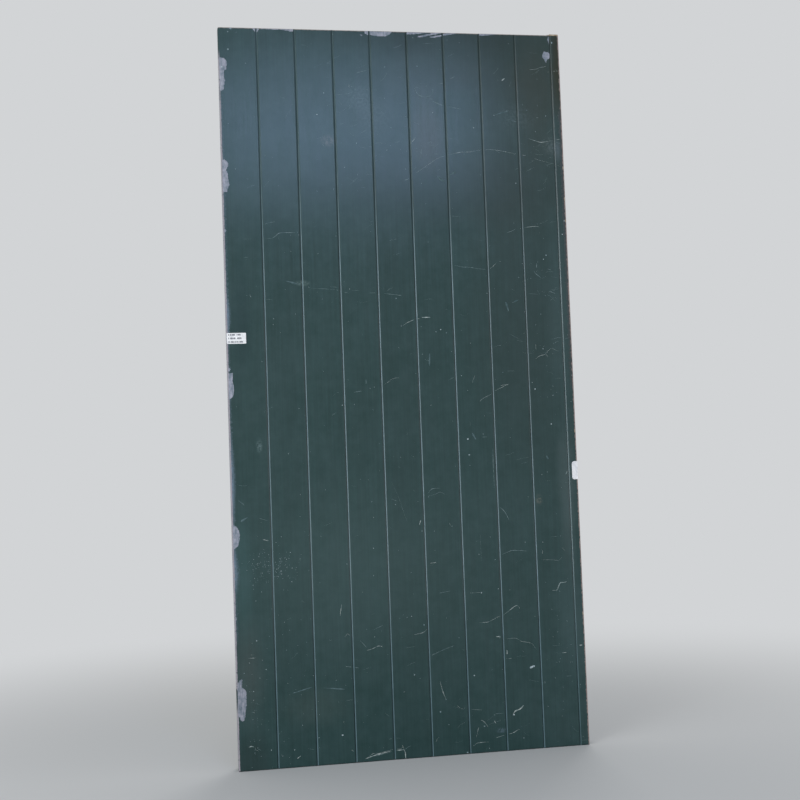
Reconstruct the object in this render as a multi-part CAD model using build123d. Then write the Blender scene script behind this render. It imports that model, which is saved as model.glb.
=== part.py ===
from build123d import *
import os

# Boarded door leaf: tongued and grooved V-jointed boards, screwed from behind to a half-lapped frame with
# two braces. Millimetres. The face looks along -Y, X runs left to right as seen from the front, Z is up.
# The origin is the middle of the leaf's foot, halfway through its thickness.

# Boards
BOARD_COUNT = 9
BOARD_COVER = 100.0  # from one joint line to the next
BOARD_THICKNESS = 20.0
LEAF_HEIGHT = 1920.0
RIPPED_BOARD_WIDTH = 25.0  # last board, sawn down its length to make up the leaf's width
RIPPED_END_PROUD = 3.0  # how far its top end stands above the other boards

# Joints between boards
TONGUE_THICKNESS = 6.0
TONGUE_LENGTH = 6.0
TONGUE_NOSE = 1.0  # chamfer that leads the tongue into its groove
TONGUE_CHEEK_CLEARANCE = 0.15
TONGUE_TIP_CLEARANCE = 1.0
V_WIDTH = 3.0  # each board's half of the V, across the face
V_DEPTH = 2.0

# Edges of the leaf
LEFT_ARRIS = 3.0  # planed and worn wider than the others
RIGHT_ARRIS = 2.0
END_ARRIS = 2.0
TOP_LEFT_CORNER_RADIUS = 5.0
RIPPED_END_RADIUS = 3.0

# Stretch of the left edge that has broken away
BREAK_TOP = 208.0  # above the foot
BREAK_BOTTOM = 140.0
BREAK_DEPTH = 2.7
BREAK_STEP = 5.0  # height of its blunt upper end

# Frame on the back
FRAME_THICKNESS = 22.0
STILE_WIDTH = 95.0
TOP_RAIL_DEPTH = 95.0
MIDDLE_RAIL_DEPTH = 145.0
BOTTOM_RAIL_DEPTH = 145.0
MIDDLE_RAIL_CENTRE = 950.0  # above the foot
LAP_THICKNESS = 11.0  # tongue of a rail that lies under the stile
BRACE_WIDTH = 95.0
FRAME_ARRIS = 2.5

# Countersunk wood screws, driven from the back
SCREW_LENGTH = 35.0
SCREW_RADIUS = 2.0
SCREW_HEAD_RADIUS = 4.2
SCREW_POINT = 4.0
SCREW_TIP_RADIUS = 0.4
SCREW_SIDES = 8
SCREW_SUNK = 0.4  # head below the frame's surface
HOLE_CLEARANCE = 0.1
HOLE_SPARE_DEPTH = 0.5
SCREWS_PER_BAY = 2  # along a stile, between two rails
SCREW_EDGE = 20.0  # least distance from a stile to a screw of a rail or brace
RAIL_SCREW_STAGGER = 0.22  # off a rail's middle line, as a share of its depth

# Worked out from the sizes above
V_SLOPE = (V_WIDTH, V_DEPTH)
LEAF_WIDTH = BOARD_COUNT * BOARD_COVER + RIPPED_BOARD_WIDTH
LEFT = -LEAF_WIDTH / 2
RIGHT = LEAF_WIDTH / 2
FACE_Y = -(BOARD_THICKNESS + FRAME_THICKNESS) / 2
JOINT_Y = FACE_Y + BOARD_THICKNESS  # boards meet the frame here
BACK_Y = JOINT_Y + FRAME_THICKNESS
BAY_LEFT = LEFT + STILE_WIDTH
BAY_RIGHT = RIGHT - STILE_WIDTH
RAILS = {
    "bottom_rail": (0.0, BOTTOM_RAIL_DEPTH),
    "middle_rail": (MIDDLE_RAIL_CENTRE - MIDDLE_RAIL_DEPTH / 2, MIDDLE_RAIL_CENTRE + MIDDLE_RAIL_DEPTH / 2),
    "top_rail": (LEAF_HEIGHT - TOP_RAIL_DEPTH, LEAF_HEIGHT),
}
BAYS = {
    "lower_brace": (RAILS["bottom_rail"][1], RAILS["middle_rail"][0]),
    "upper_brace": (RAILS["middle_rail"][1], RAILS["top_rail"][0]),
}


def block(low, high):
    """A rectangular block between two opposite corners."""
    sizes = [b - a for a, b in zip(low, high)]
    return Pos(*low) * Box(*sizes, align=(Align.MIN, Align.MIN, Align.MIN))


def face_of(points, plane=Plane.XY):
    """A flat face with straight sides through the points, on the plane."""
    return plane * make_face(Polyline(*points, close=True))


def board_section(width, left_slope, right_slope, tongued, grooved):
    """Section of a board seen from above, its left joint line at x = 0 and its face at y = 0.

    The slopes are what its front edges lose, as (across the face, into the thickness).
    """
    tongue_front = (BOARD_THICKNESS - TONGUE_THICKNESS) / 2
    tongue_back = tongue_front + TONGUE_THICKNESS
    points = [(left_slope[0], 0), (width - right_slope[0], 0), (width, right_slope[1])]
    if grooved:
        groove_front = tongue_front - TONGUE_CHEEK_CLEARANCE
        groove_back = tongue_back + TONGUE_CHEEK_CLEARANCE
        groove_floor = width - TONGUE_LENGTH - TONGUE_TIP_CLEARANCE
        points += [(width, groove_front), (groove_floor, groove_front)]
        points += [(groove_floor, groove_back), (width, groove_back)]
    points += [(width, BOARD_THICKNESS), (0, BOARD_THICKNESS)]
    if tongued:
        points += [(0, tongue_back), (-TONGUE_LENGTH + TONGUE_NOSE, tongue_back)]
        points += [(-TONGUE_LENGTH, tongue_back - TONGUE_NOSE), (-TONGUE_LENGTH, tongue_front + TONGUE_NOSE)]
        points += [(-TONGUE_LENGTH + TONGUE_NOSE, tongue_front), (0, tongue_front)]
    points += [(0, left_slope[1])]
    return face_of(points)


def end_arris(height, upwards):
    """Wedge that takes the sharp front edge off a board's end, across the whole leaf."""
    inward = -END_ARRIS if upwards else END_ARRIS
    points = [(FACE_Y, height), (FACE_Y + END_ARRIS, height), (FACE_Y, height + inward)]
    wedge = extrude(face_of(points, Plane.YZ), amount=LEAF_WIDTH + 2 * TONGUE_LENGTH, dir=(1, 0, 0))
    return Pos(X=LEFT - TONGUE_LENGTH) * wedge


def corner_waste(x, z, radius, side):
    """What a round of the given radius takes off a board's top corner; side is -1 left, 1 right."""
    square = block((min(x, x - side * radius), FACE_Y, z - radius), (max(x, x - side * radius), JOINT_Y, z))
    centre = (x - side * radius, (FACE_Y + JOINT_Y) / 2, z - radius)
    return square - Pos(*centre) * Rot(X=90) * Cylinder(radius, BOARD_THICKNESS)


def broken_stretch():
    """Sliver missing from the left edge: blunt at its upper end, running out to nothing lower down."""
    step_foot = (LEFT + BREAK_DEPTH, BREAK_TOP - BREAK_STEP)
    middle = (LEFT + BREAK_DEPTH * 0.8, (BREAK_TOP + BREAK_BOTTOM) / 2)
    outline = [
        Line((LEFT, BREAK_TOP), step_foot),
        ThreePointArc(step_foot, middle, (LEFT, BREAK_BOTTOM)),
        Line((LEFT, BREAK_BOTTOM), (LEFT, BREAK_TOP)),
    ]
    sliver = extrude(Plane.XZ * make_face(outline), amount=BOARD_THICKNESS, dir=(0, 1, 0))
    return Pos(Y=FACE_Y) * sliver


def board(number):
    """One full board, counted from 1 at the left."""
    first = number == 1
    left_slope = (LEFT_ARRIS, LEFT_ARRIS) if first else V_SLOPE
    section = board_section(BOARD_COVER, left_slope, V_SLOPE, not first, True)
    left_line = LEFT + (number - 1) * BOARD_COVER
    timber = Pos(left_line, FACE_Y, 0) * extrude(section, amount=LEAF_HEIGHT)
    timber -= end_arris(LEAF_HEIGHT, True) + end_arris(0, False)
    if first:
        timber -= corner_waste(LEFT, LEAF_HEIGHT, TOP_LEFT_CORNER_RADIUS, -1)
        timber -= broken_stretch()
    return timber


def ripped_board():
    """Narrow last board: tongue on its left, sawn edge on its right, top end standing proud."""
    top = LEAF_HEIGHT + RIPPED_END_PROUD
    section = board_section(RIPPED_BOARD_WIDTH, V_SLOPE, (RIGHT_ARRIS, RIGHT_ARRIS), True, False)
    left_line = RIGHT - RIPPED_BOARD_WIDTH
    timber = Pos(left_line, FACE_Y, 0) * extrude(section, amount=top)
    timber -= end_arris(top, True) + end_arris(0, False)
    timber -= corner_waste(RIGHT, top, RIPPED_END_RADIUS, 1)
    return timber


def batten_section(width):
    """Section of a frame member with its two back arrises taken off: x across it, y from its foot."""
    half = width / 2
    return [
        (-half, JOINT_Y), (half, JOINT_Y), (half, BACK_Y - FRAME_ARRIS),
        (half - FRAME_ARRIS, BACK_Y), (-half + FRAME_ARRIS, BACK_Y), (-half, BACK_Y - FRAME_ARRIS),
    ]


def stile(left_edge):
    """Upright of the frame, full height, hollowed behind for the end of each rail."""
    right_edge = left_edge + STILE_WIDTH
    upright = extrude(face_of(batten_section(STILE_WIDTH)), amount=LEAF_HEIGHT)
    timber = Pos(X=left_edge + STILE_WIDTH / 2) * upright
    for low, high in RAILS.values():
        timber -= block((left_edge, JOINT_Y, low), (right_edge, JOINT_Y + LAP_THICKNESS, high))
    return timber


def rail(low, high):
    """Crosspiece of the frame, its ends halved to lie between the boards and the stiles."""
    across = Plane(origin=(LEFT, 0, (low + high) / 2), x_dir=(0, 0, 1), z_dir=(1, 0, 0))
    section = [(x, -y) for x, y in batten_section(high - low)]
    timber = extrude(face_of(section, across), amount=LEAF_WIDTH, dir=(1, 0, 0))
    for near, far in ((LEFT, BAY_LEFT), (BAY_RIGHT, RIGHT)):
        timber -= block((near, JOINT_Y + LAP_THICKNESS, low), (far, BACK_Y, high))
    return timber


def brace(low, high):
    """Diagonal that rises to the right, its ends sawn to fit the corners of its bay."""
    run = Vector(BAY_RIGHT - BAY_LEFT, 0, high - low)
    middle = ((BAY_LEFT + BAY_RIGHT) / 2, 0, (low + high) / 2)
    along = Plane(origin=middle, x_dir=Vector(0, 1, 0).cross(run), z_dir=run)
    section = face_of([(x, -y if along.y_dir.Y < 0 else y) for x, y in batten_section(BRACE_WIDTH)], along)
    batten = extrude(section, amount=run.length / 2 + BRACE_WIDTH, both=True)
    return batten & block((BAY_LEFT, JOINT_Y, low), (BAY_RIGHT, BACK_Y, high))


def driven_at(x, z):
    """Frame of a screw: its origin on the back surface, its Z into the timber."""
    return Plane(origin=(x, BACK_Y, z), x_dir=(1, 0, 0), z_dir=(0, -1, 0))


def faceted(stations):
    """Straight-sided solid through sections given as (depth, radius). Screws are small, so few sides do."""
    sections = [Pos(Z=depth) * RegularPolygon(radius, SCREW_SIDES) for depth, radius in stations]
    return loft(sections, ruled=True)


def screw():
    """Countersunk wood screw, its head down at SCREW_SUNK."""
    neck = SCREW_SUNK + SCREW_HEAD_RADIUS - SCREW_RADIUS
    tip = SCREW_SUNK + SCREW_LENGTH
    return faceted([
        (SCREW_SUNK, SCREW_HEAD_RADIUS), (neck, SCREW_RADIUS), (tip - SCREW_POINT, SCREW_RADIUS),
        (tip, SCREW_TIP_RADIUS),
    ])


def screw_hole():
    """Countersink and drilled hole for one screw."""
    wide = SCREW_HEAD_RADIUS + HOLE_CLEARANCE
    narrow = SCREW_RADIUS + HOLE_CLEARANCE
    floor = SCREW_SUNK + SCREW_LENGTH + HOLE_SPARE_DEPTH
    return faceted([(0, wide), (SCREW_SUNK, wide), (SCREW_SUNK + wide - narrow, narrow), (floor, narrow)])


def stile_places():
    """Where screws go through the stiles: at each lap and evenly between, one row for each board behind."""
    left_row = LEFT + STILE_WIDTH / 2
    last_joint = RIGHT - RIPPED_BOARD_WIDTH
    right_rows = ((BAY_RIGHT + last_joint) / 2, (last_joint + RIGHT) / 2)
    heights = [(low + high) / 2 for low, high in RAILS.values()]
    for low, high in BAYS.values():
        step = (high - low) / (SCREWS_PER_BAY + 1)
        heights += [low + step * (i + 1) for i in range(SCREWS_PER_BAY)]
    return [(x, z) for x in (left_row, *right_rows) for z in sorted(heights)]


def board_middles():
    """Middles of the boards that have room for a screw between the stiles."""
    middles = [LEFT + BOARD_COVER * (i + 0.5) for i in range(BOARD_COUNT)]
    return [x for x in middles if BAY_LEFT + SCREW_EDGE < x < BAY_RIGHT - SCREW_EDGE]


def rail_places():
    """One screw for each board on each rail, high and low by turns."""
    places = []
    for low, high in RAILS.values():
        offset = (high - low) * RAIL_SCREW_STAGGER
        for i, x in enumerate(board_middles()):
            places.append((x, (low + high) / 2 + (offset if i % 2 else -offset)))
    return places


def brace_places():
    """One screw for each board that a brace crosses, on the brace's middle line."""
    places = []
    for low, high in BAYS.values():
        slope = (high - low) / (BAY_RIGHT - BAY_LEFT)
        places += [(x, low + (x - BAY_LEFT) * slope) for x in board_middles()]
    return places


def drilled(timber, places):
    """The timber with every screw hole that crosses it."""
    box = timber.bounding_box()
    reach = SCREW_HEAD_RADIUS + HOLE_CLEARANCE
    hole = screw_hole()
    holes = []
    for x, z in places:
        beside = box.min.X - reach < x < box.max.X + reach
        level = box.min.Z - reach < z < box.max.Z + reach
        if beside and level:
            holes.append(driven_at(x, z) * hole)
    return timber - holes


def save(name, shape):
    """Write one sub-part."""
    export_step(shape, f"parts/{name}.step")


def main():
    """Build every piece and write it."""
    os.makedirs("parts", exist_ok=True)
    fixings = {"stile_screws": stile_places(), "rail_screws": rail_places(), "brace_screws": brace_places()}
    places = [place for group in fixings.values() for place in group]
    timbers = {f"board_{n}": board(n) for n in range(1, BOARD_COUNT + 1)}
    timbers["ripped_board"] = ripped_board()
    timbers["left_stile"] = stile(LEFT)
    timbers["right_stile"] = stile(BAY_RIGHT)
    timbers.update({name: rail(*span) for name, span in RAILS.items()})
    timbers.update({name: brace(*span) for name, span in BAYS.items()})
    for name, timber in timbers.items():
        save(name, drilled(timber, places))
    one = screw()
    for name, group in fixings.items():
        save(name, Compound(children=[driven_at(x, z) * one for x, z in group]))


main()
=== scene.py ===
import logging
import math
import random
from dataclasses import dataclass, field
from enum import Enum
from functools import partial
from typing import Any, Callable, Iterable, Mapping, Sequence

import bpy
from mathutils import Matrix, Vector


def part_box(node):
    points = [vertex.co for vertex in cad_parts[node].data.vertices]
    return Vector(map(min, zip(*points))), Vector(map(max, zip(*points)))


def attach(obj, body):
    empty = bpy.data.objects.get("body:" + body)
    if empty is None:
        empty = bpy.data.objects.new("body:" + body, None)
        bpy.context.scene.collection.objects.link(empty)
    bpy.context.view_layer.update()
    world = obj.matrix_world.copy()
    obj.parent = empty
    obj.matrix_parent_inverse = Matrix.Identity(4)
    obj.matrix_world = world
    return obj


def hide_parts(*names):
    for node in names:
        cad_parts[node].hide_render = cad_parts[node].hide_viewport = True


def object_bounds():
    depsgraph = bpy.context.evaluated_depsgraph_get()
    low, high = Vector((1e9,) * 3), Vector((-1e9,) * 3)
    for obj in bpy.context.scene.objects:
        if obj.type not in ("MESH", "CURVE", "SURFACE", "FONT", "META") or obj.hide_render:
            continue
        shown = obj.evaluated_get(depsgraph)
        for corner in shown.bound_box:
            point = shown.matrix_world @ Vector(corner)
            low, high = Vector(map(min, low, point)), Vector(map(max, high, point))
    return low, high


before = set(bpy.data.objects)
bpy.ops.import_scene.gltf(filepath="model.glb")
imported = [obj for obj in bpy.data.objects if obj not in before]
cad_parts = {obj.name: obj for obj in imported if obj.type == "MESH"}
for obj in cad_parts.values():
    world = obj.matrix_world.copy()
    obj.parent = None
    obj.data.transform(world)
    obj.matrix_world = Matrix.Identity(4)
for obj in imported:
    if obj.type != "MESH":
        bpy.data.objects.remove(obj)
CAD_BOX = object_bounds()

# A boarded barn door leaf: dark green satin paint on tongued and grooved boards, worn at its edges, on a
# frame of stiles, rails and braces. Metres. The face looks along -Y, and X runs left to right as seen from
# the front.

LOG = logging.getLogger("barn_door")
MM = 0.001

LEFT = CAD_BOX[0].x
RIGHT = CAD_BOX[1].x
FACE = CAD_BOX[0].y
BACK = CAD_BOX[1].y
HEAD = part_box("board_1")[1].z  # top of the full boards; the ripped one stands a little higher
BOARD_COVER = 100 * MM  # how much of a full board's width shows
BOARD_COUNT = 9  # full boards
V_HALF_WIDTH = 3 * MM  # from a V joint's middle to its rim
LEFT_ARRIS = 3 * MM
THIN_ARRIS = 2 * MM  # at the top, the foot and the right edge
JOINTS = [LEFT + BOARD_COVER * (i + 1) for i in range(BOARD_COUNT)]  # X of each V joint

WELD = 0.005 * MM  # points nearer to each other than this are one point
FLAT = math.radians(0.5)  # faces that turn by less than this are one face
SHARP = math.radians(20)  # an edge that turns by more than this can be eased
CUT_SLACK = 0.01 * MM  # by more than this no cut may make its piece larger

Outline = Sequence[tuple[float, float]]
Place = tuple[float, float, float]
Socket = bpy.types.NodeSocket
AddNode = Callable[..., bpy.types.Node]


def linear(colour: str) -> tuple[float, float, float, float]:
    """Turn an sRGB hex colour into the linear colour that a shader takes.

    Args:
        colour: Hex colour such as "#2a4140".

    Returns:
        Red, green and blue in linear light, and 1 for alpha.
    """
    parts = [int(colour[i:i + 2], 16) / 255 for i in (1, 3, 5)]
    red, green, blue = [p / 12.92 if p <= 0.04045 else ((p + 0.055) / 1.055) ** 2.4 for p in parts]
    return red, green, blue, 1.0


def per_metre(millimetres: float) -> float:
    """Texture scale that repeats once in the given number of millimetres."""
    return 1000 / millimetres


def add_node(tree: bpy.types.NodeTree, kind: str, inputs: dict[Any, Any] | None = None,
             **settings: Any) -> bpy.types.Node:
    """Add one node with its settings, values and links.

    Sockets are given by name or by number. A colour mix takes its share at 0 and its two colours at 6 and 7,
    and gives the mix at 2. A map range takes its value at 0, the old range at 1 and 2, and the new one at 3
    and 4.

    Args:
        tree: Node tree that takes the node.
        kind: Node type, without its leading ShaderNode.
        inputs: Input name or number to a value, or to the socket that feeds it.
        settings: The node's own properties.

    Returns:
        The new node.
    """
    node = tree.nodes.new("ShaderNode" + kind)
    for key, value in settings.items():
        setattr(node, key, value)
    for key, value in (inputs or {}).items():
        if isinstance(value, bpy.types.NodeSocket):
            tree.links.new(value, node.inputs[key])
        else:
            node.inputs[key].default_value = value
    return node


def start_material(name: str) -> tuple[bpy.types.Material, AddNode, Socket]:
    """Start a material whose patterns keep to their places on the object.

    Args:
        name: Name of the material.

    Returns:
        The material, what adds a node to it, and the socket of the place on the object.
    """
    material = bpy.data.materials.new(name)
    material.use_nodes = True
    material.node_tree.nodes.clear()
    add = partial(add_node, material.node_tree)
    return material, add, add("TexCoord").outputs["Object"]


# The finishes


@dataclass(frozen=True)
class WornEdge:
    """An arris where the paint is rubbed through to the undercoat. The foot's band of grime and painted shadow
    is laid the same way.

    The arris lies where slope . point = level, and its neighbours on the solid have more than that.
    """

    slope: Place
    level: float
    reach: float = 1.2 * MM  # how far the wear runs on to the flat beside the arris
    lowest: float = -1.0  # the wear starts at this height
    highest: float = 9.0  # and ends at this one
    strength: float = 1.0
    pale: str = "#b3abb3"
    dark: str = "#85848f"


@dataclass(frozen=True)
class Haze:
    """A broad soft change of tone on the paint. Some are dust, wiping or a darker coat; some are painted
    shade.
    """

    centre: tuple[float, float]  # (x, z) in millimetres on the face
    spread: tuple[float, float]  # half its width and half its height
    colour: str
    share: float
    broken: float = 0.0  # how far grit breaks it up, up to 1


@dataclass(frozen=True)
class SatinPaint:
    """Satin wood paint, rolled and laid off with a brush down the boards.

    To the eye: a deep, slightly blue green, a soft wide sheen, faint upright brush marks, a film of dust in
    clouds, a few pale specks, and a lilac-grey undercoat where edges are rubbed.
    """

    name: str
    colour: str = "#2f4848"
    deep: str = "#264140"  # where the roller laid it thicker
    dust_and_painted_light: str = "#5d7074"
    speck: str = "#8b9d9f"
    roughness: float = 0.19
    rough_spread: float = 0.03  # the brush marks are rougher and smoother by this much
    specular: float = 0.35
    board_cover: float = 0.0  # where this isn't nought, boards differ a little and their V joints get painted light and shade
    # Painted light in the V joints: a highlight and a bluish reflection, and painted shade
    painted_joint_highlight: str = "#84a2ae"
    painted_joint_reflection: str = "#5a7488"
    painted_joint_shade: str = "#16262a"
    painted_joint_light_fade: tuple[float, float] = (1.65, 1.25)  # heights between which the painted light and shade in the V joints change from their upper shares to their lower ones
    dust_share: float = 0.06
    haze_depth: float = 14 * MM  # the hazes lie on the face, and none reaches through to the back
    waver: float = 80 * MM  # how far up and down the ends of a worn stretch wander
    edges: tuple[WornEdge, ...] = ()
    hazes: tuple[Haze, ...] = ()

    def material(self) -> bpy.types.Material:
        """Build the material.

        Returns:
            The finished material.
        """
        material, add, place = start_material(self.name)
        along = add("SeparateXYZ", {0: place}).outputs
        # Clouds of dust and wiping, 120 to 260 mm across
        cloud = add("TexNoise", {"Vector": place, "Scale": per_metre(240), "Detail": 4.0, "Roughness": 0.55,
                                 "Distortion": 0.4}).outputs["Fac"]
        dusty = add("MapRange", {0: cloud, 1: 0.42, 2: 0.72, 4: self.dust_share},
                    interpolation_type="SMOOTHSTEP").outputs[0]
        # Brush marks: 1.5 mm wide really, drawn 4 mm wide so that they show, and about 200 mm long
        down = add("Mapping", {"Vector": place, "Scale": (per_metre(4), per_metre(4), per_metre(200))})
        brush = add("TexNoise", {"Vector": down.outputs[0], "Scale": 1.0, "Detail": 3.0,
                                 "Roughness": 0.6}).outputs["Fac"]
        # Grit and the ragged rims of worn places, 7 mm and less
        grit = add("TexNoise", {"Vector": place, "Scale": per_metre(7), "Detail": 6.0,
                                "Roughness": 0.65}).outputs["Fac"]

        colour = self.coat(add, place, along, brush)
        colour = add("Mix", {0: dusty, 6: colour, 7: linear(self.dust_and_painted_light)}, data_type="RGBA").outputs[2]
        for haze in self.hazes:
            colour = self.hazed(add, haze, place, cloud, grit, colour)
        colour = self.specked(add, place, colour)
        rough = add("MapRange", {0: brush, 1: 0.3, 2: 0.7, 3: self.roughness - self.rough_spread,
                                 4: self.roughness + self.rough_spread}).outputs[0]
        rough = add("Math", {0: dusty, 1: 0.5, 2: rough}, operation="MULTIPLY_ADD").outputs[0]
        # The undercoat is paler and darker in patches 35 mm across
        patchy = add("TexNoise", {"Vector": place, "Scale": per_metre(35), "Detail": 3.0}).outputs["Fac"]
        for edge in self.edges:
            worn = self.worn(add, edge, place, along["Z"], patchy, grit)
            under = add("Mix", {0: patchy, 6: linear(edge.dark), 7: linear(edge.pale)}, data_type="RGBA")
            colour = add("Mix", {0: worn, 6: colour, 7: under.outputs[2]}, data_type="RGBA").outputs[2]
            rough = add("Math", {0: worn, 1: 0.35, 2: rough}, operation="MULTIPLY_ADD").outputs[0]

        relief = add("Bump", {"Strength": 0.35, "Distance": 0.15 * MM, "Height": brush}).outputs[0]
        relief = add("Bump", {"Strength": 0.25, "Distance": 0.1 * MM, "Height": grit, "Normal": relief})
        shader = add("BsdfPrincipled", {"Base Color": colour, "Roughness": rough, "Normal": relief.outputs[0],
                                        "IOR": 1.5, "Specular IOR Level": self.specular})
        add("OutputMaterial", {0: shader.outputs[0]})
        return material

    def coat(self, add: AddNode, place: Socket, along: Mapping[str, Socket], brush: Socket) -> Socket:
        """Mix the colour of the clean coat, a little different on each board.

        Args:
            add: Adds a node to the material.
            place: Place on the leaf.
            along: Its X, Y and Z.
            brush: Noise of the brush marks.

        Returns:
            Colour of the coat, with the painted light and shade in its V joints.
        """
        # Mottle 34 mm across in the paint itself, from the roller
        mottle = add("TexNoise", {"Vector": place, "Scale": per_metre(34), "Detail": 5.0, "Roughness": 0.68})
        share = add("MapRange", {0: mottle.outputs["Fac"], 1: 0.33, 2: 0.67}).outputs[0]
        colour = add("Mix", {0: share, 6: linear(self.deep), 7: linear(self.colour)},
                     data_type="RGBA").outputs[2]
        if self.board_cover:
            across = add("Math", {0: along["X"], 1: -LEFT}, operation="ADD").outputs[0]
            across = add("Math", {0: across, 1: self.board_cover}, operation="DIVIDE").outputs[0]
            board = add("Math", {0: across}, operation="FLOOR").outputs[0]
            chance = add("TexWhiteNoise", {"W": board}, noise_dimensions="1D").outputs["Value"]
            value = add("MapRange", {0: chance, 3: 0.97, 4: 1.03}).outputs[0]
            colour = add("HueSaturation", {"Value": value, "Color": colour}).outputs[0]
            colour = self.paint_joint_light(add, along, across, colour)
        value = add("MapRange", {0: brush, 1: 0.35, 2: 0.65, 3: 0.925, 4: 1.075}).outputs[0]
        return add("HueSaturation", {"Value": value, "Color": colour}).outputs[0]

    def paint_joint_light(self, add: AddNode, along: Mapping[str, Socket], across: Socket,
                     colour: Socket) -> Socket:
        """Paint light and shade into the V joints: a highlight on the right-hand slope, stronger low down, a
        bluish reflection high up and shade low down on the other slope, and a line of shade at the root.

        Args:
            add: Adds a node to the material.
            along: Sockets of the point's X, Y and Z.
            across: How far right of the left edge it is, in boards.
            colour: Colour of the clean paint.

        Returns:
            Colour with the painted light and shade on it.
        """
        within = add("Math", {0: across}, operation="FRACT").outputs[0]
        # The leaf's left edge is no joint, and gets none of the painted light and shade
        first = LEFT + self.board_cover / 2
        inner = add("Math", {0: along["X"], 1: first}, operation="GREATER_THAN").outputs[0]
        # The painted light and shade are stronger and weaker along each joint, in stretches of 60 mm that X
        # shifts from joint to joint
        drift = add("Math", {0: along["X"], 1: 3.0, 2: along["Z"]}, operation="MULTIPLY_ADD").outputs[0]
        drift = add("TexNoise", {"W": drift, "Scale": per_metre(60), "Detail": 5.0, "Roughness": 0.7},
                    noise_dimensions="1D").outputs[0]
        drift = add("MapRange", {0: drift, 1: 0.3, 2: 0.7, 3: 0.72, 4: 1.28}).outputs[0]
        edge = V_HALF_WIDTH / self.board_cover
        top, foot = self.painted_joint_light_fade
        # Each layer of painted highlight, reflection and shade: its colour, where it ends and where it is
        # whole, and its share high up and low down
        layers = ((self.painted_joint_highlight, edge * 1.05, edge * 0.7, 0.16, 0.48),
                  (self.painted_joint_reflection, 1 - edge, 1 - edge * 0.8, 0.22, 0.0),
                  (self.painted_joint_shade, 1 - edge * 1.1, 1 - edge * 0.7, 0.12, 0.6),
                  (self.painted_joint_shade, edge * 0.45, edge * 0.2, 0.5, 0.4))
        # Each layer's colour is painted light or painted shade, not dust
        for dust_and_painted_light, ends, whole, high, low in layers:
            slope = add("MapRange", {0: within, 1: ends, 2: whole}).outputs[0]
            share = add("MapRange", {0: along["Z"], 1: top, 2: foot, 3: high, 4: low}).outputs[0]
            for part in (slope, inner, drift):
                share = add("Math", {0: share, 1: part}, operation="MULTIPLY").outputs[0]
            colour = add("Mix", {0: share, 6: colour, 7: linear(dust_and_painted_light)}, data_type="RGBA").outputs[2]
        return colour

    def hazed(self, add: AddNode, haze: Haze, place: Socket, cloud: Socket, grit: Socket,
              colour: Socket) -> Socket:
        """Lay one haze on the paint.

        Args:
            add: Adds a node to the material.
            haze: The haze.
            place: Place on the leaf.
            cloud: Noise that bends its rim.
            grit: Noise that breaks it up.
            colour: Colour of the paint under it.

        Returns:
            Colour with the haze on it.
        """
        (x, z), (across, up) = haze.centre, haze.spread
        scale = (1 / (across * MM), 1 / self.haze_depth, 1 / (up * MM))
        centre = (-x / across, -FACE / self.haze_depth, -z / up)
        away = add("Mapping", {"Vector": place, "Scale": scale, "Location": centre})
        away = add("VectorMath", {0: away.outputs[0]}, operation="LENGTH").outputs["Value"]
        # The cloud noise, 0.5 on the average, adds 0.4 to the distance, so the rim lies round 1
        away = add("Math", {0: cloud, 1: 0.8, 2: away}, operation="MULTIPLY_ADD").outputs[0]
        share = add("MapRange", {0: away, 1: 1.4, 2: 0.5, 4: haze.share},
                    interpolation_type="SMOOTHSTEP").outputs[0]
        if haze.broken:
            part = add("MapRange", {0: grit, 1: 0.4, 2: 0.6, 3: 1 - haze.broken, 4: 1 + haze.broken})
            share = add("Math", {0: share, 1: part.outputs[0]}, operation="MULTIPLY").outputs[0]
        return add("Mix", {0: share, 6: colour, 7: linear(haze.colour)}, data_type="RGBA").outputs[2]

    def specked(self, add: AddNode, place: Socket, colour: Socket) -> Socket:
        """Scatter specks of lime and plaster on the paint.

        Args:
            add: Adds a node to the material.
            place: Place on the leaf.
            colour: Colour of the paint under them.

        Returns:
            Colour with the specks on it.
        """
        # Balls up to 2.3 mm across in some cells of a 26 mm grid. Those that meet the surface show
        cells = add("TexVoronoi", {"Vector": place, "Scale": per_metre(26)}, feature="F1")
        chosen = add("SeparateColor", {0: cells.outputs["Color"]}).outputs[0]
        limit = add("MapRange", {0: chosen, 1: 0.62, 4: 0.045}).outputs[0]
        near = add("Math", {0: cells.outputs["Distance"], 1: limit}, operation="LESS_THAN").outputs[0]
        return add("Mix", {0: near, 6: colour, 7: linear(self.speck)}, data_type="RGBA").outputs[2]

    def worn(self, add: AddNode, edge: WornEdge, place: Socket, up: Socket, patchy: Socket,
             grit: Socket) -> Socket:
        """Work out how far the paint is rubbed off along one arris.

        Args:
            add: Adds a node to the material.
            edge: The arris.
            place: Place on the leaf.
            up: Its height.
            patchy: Noise that shifts the ends of the worn stretch.
            grit: Noise that frays its sides.

        Returns:
            Share of the undercoat that shows.
        """
        gap = add("VectorMath", {0: place, 1: edge.slope}, operation="DOT_PRODUCT").outputs["Value"]
        gap = add("Math", {0: gap, 1: -edge.level}, operation="ADD").outputs[0]
        ragged = add("MapRange", {0: grit, 1: 0.3, 2: 0.7, 3: -edge.reach, 4: edge.reach}).outputs[0]
        gap = add("Math", {0: gap, 1: ragged}, operation="ADD").outputs[0]
        share = add("MapRange", {0: gap, 1: edge.reach, 2: edge.reach * 0.3, 4: edge.strength},
                    interpolation_type="SMOOTHSTEP").outputs[0]
        height = add("Math", {0: patchy, 1: self.waver, 2: up}, operation="MULTIPLY_ADD").outputs[0]
        # Each end of the stretch, and at which parts of the waver the wear is gone and whole there
        for end, gone, whole in ((edge.lowest, 0.25, 0.75), (edge.highest, 0.75, 0.25)):
            inside = add("MapRange", {0: height, 1: end + gone * self.waver, 2: end + whole * self.waver})
            share = add("Math", {0: share, 1: inside.outputs[0]}, operation="MULTIPLY").outputs[0]
        return share


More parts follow.
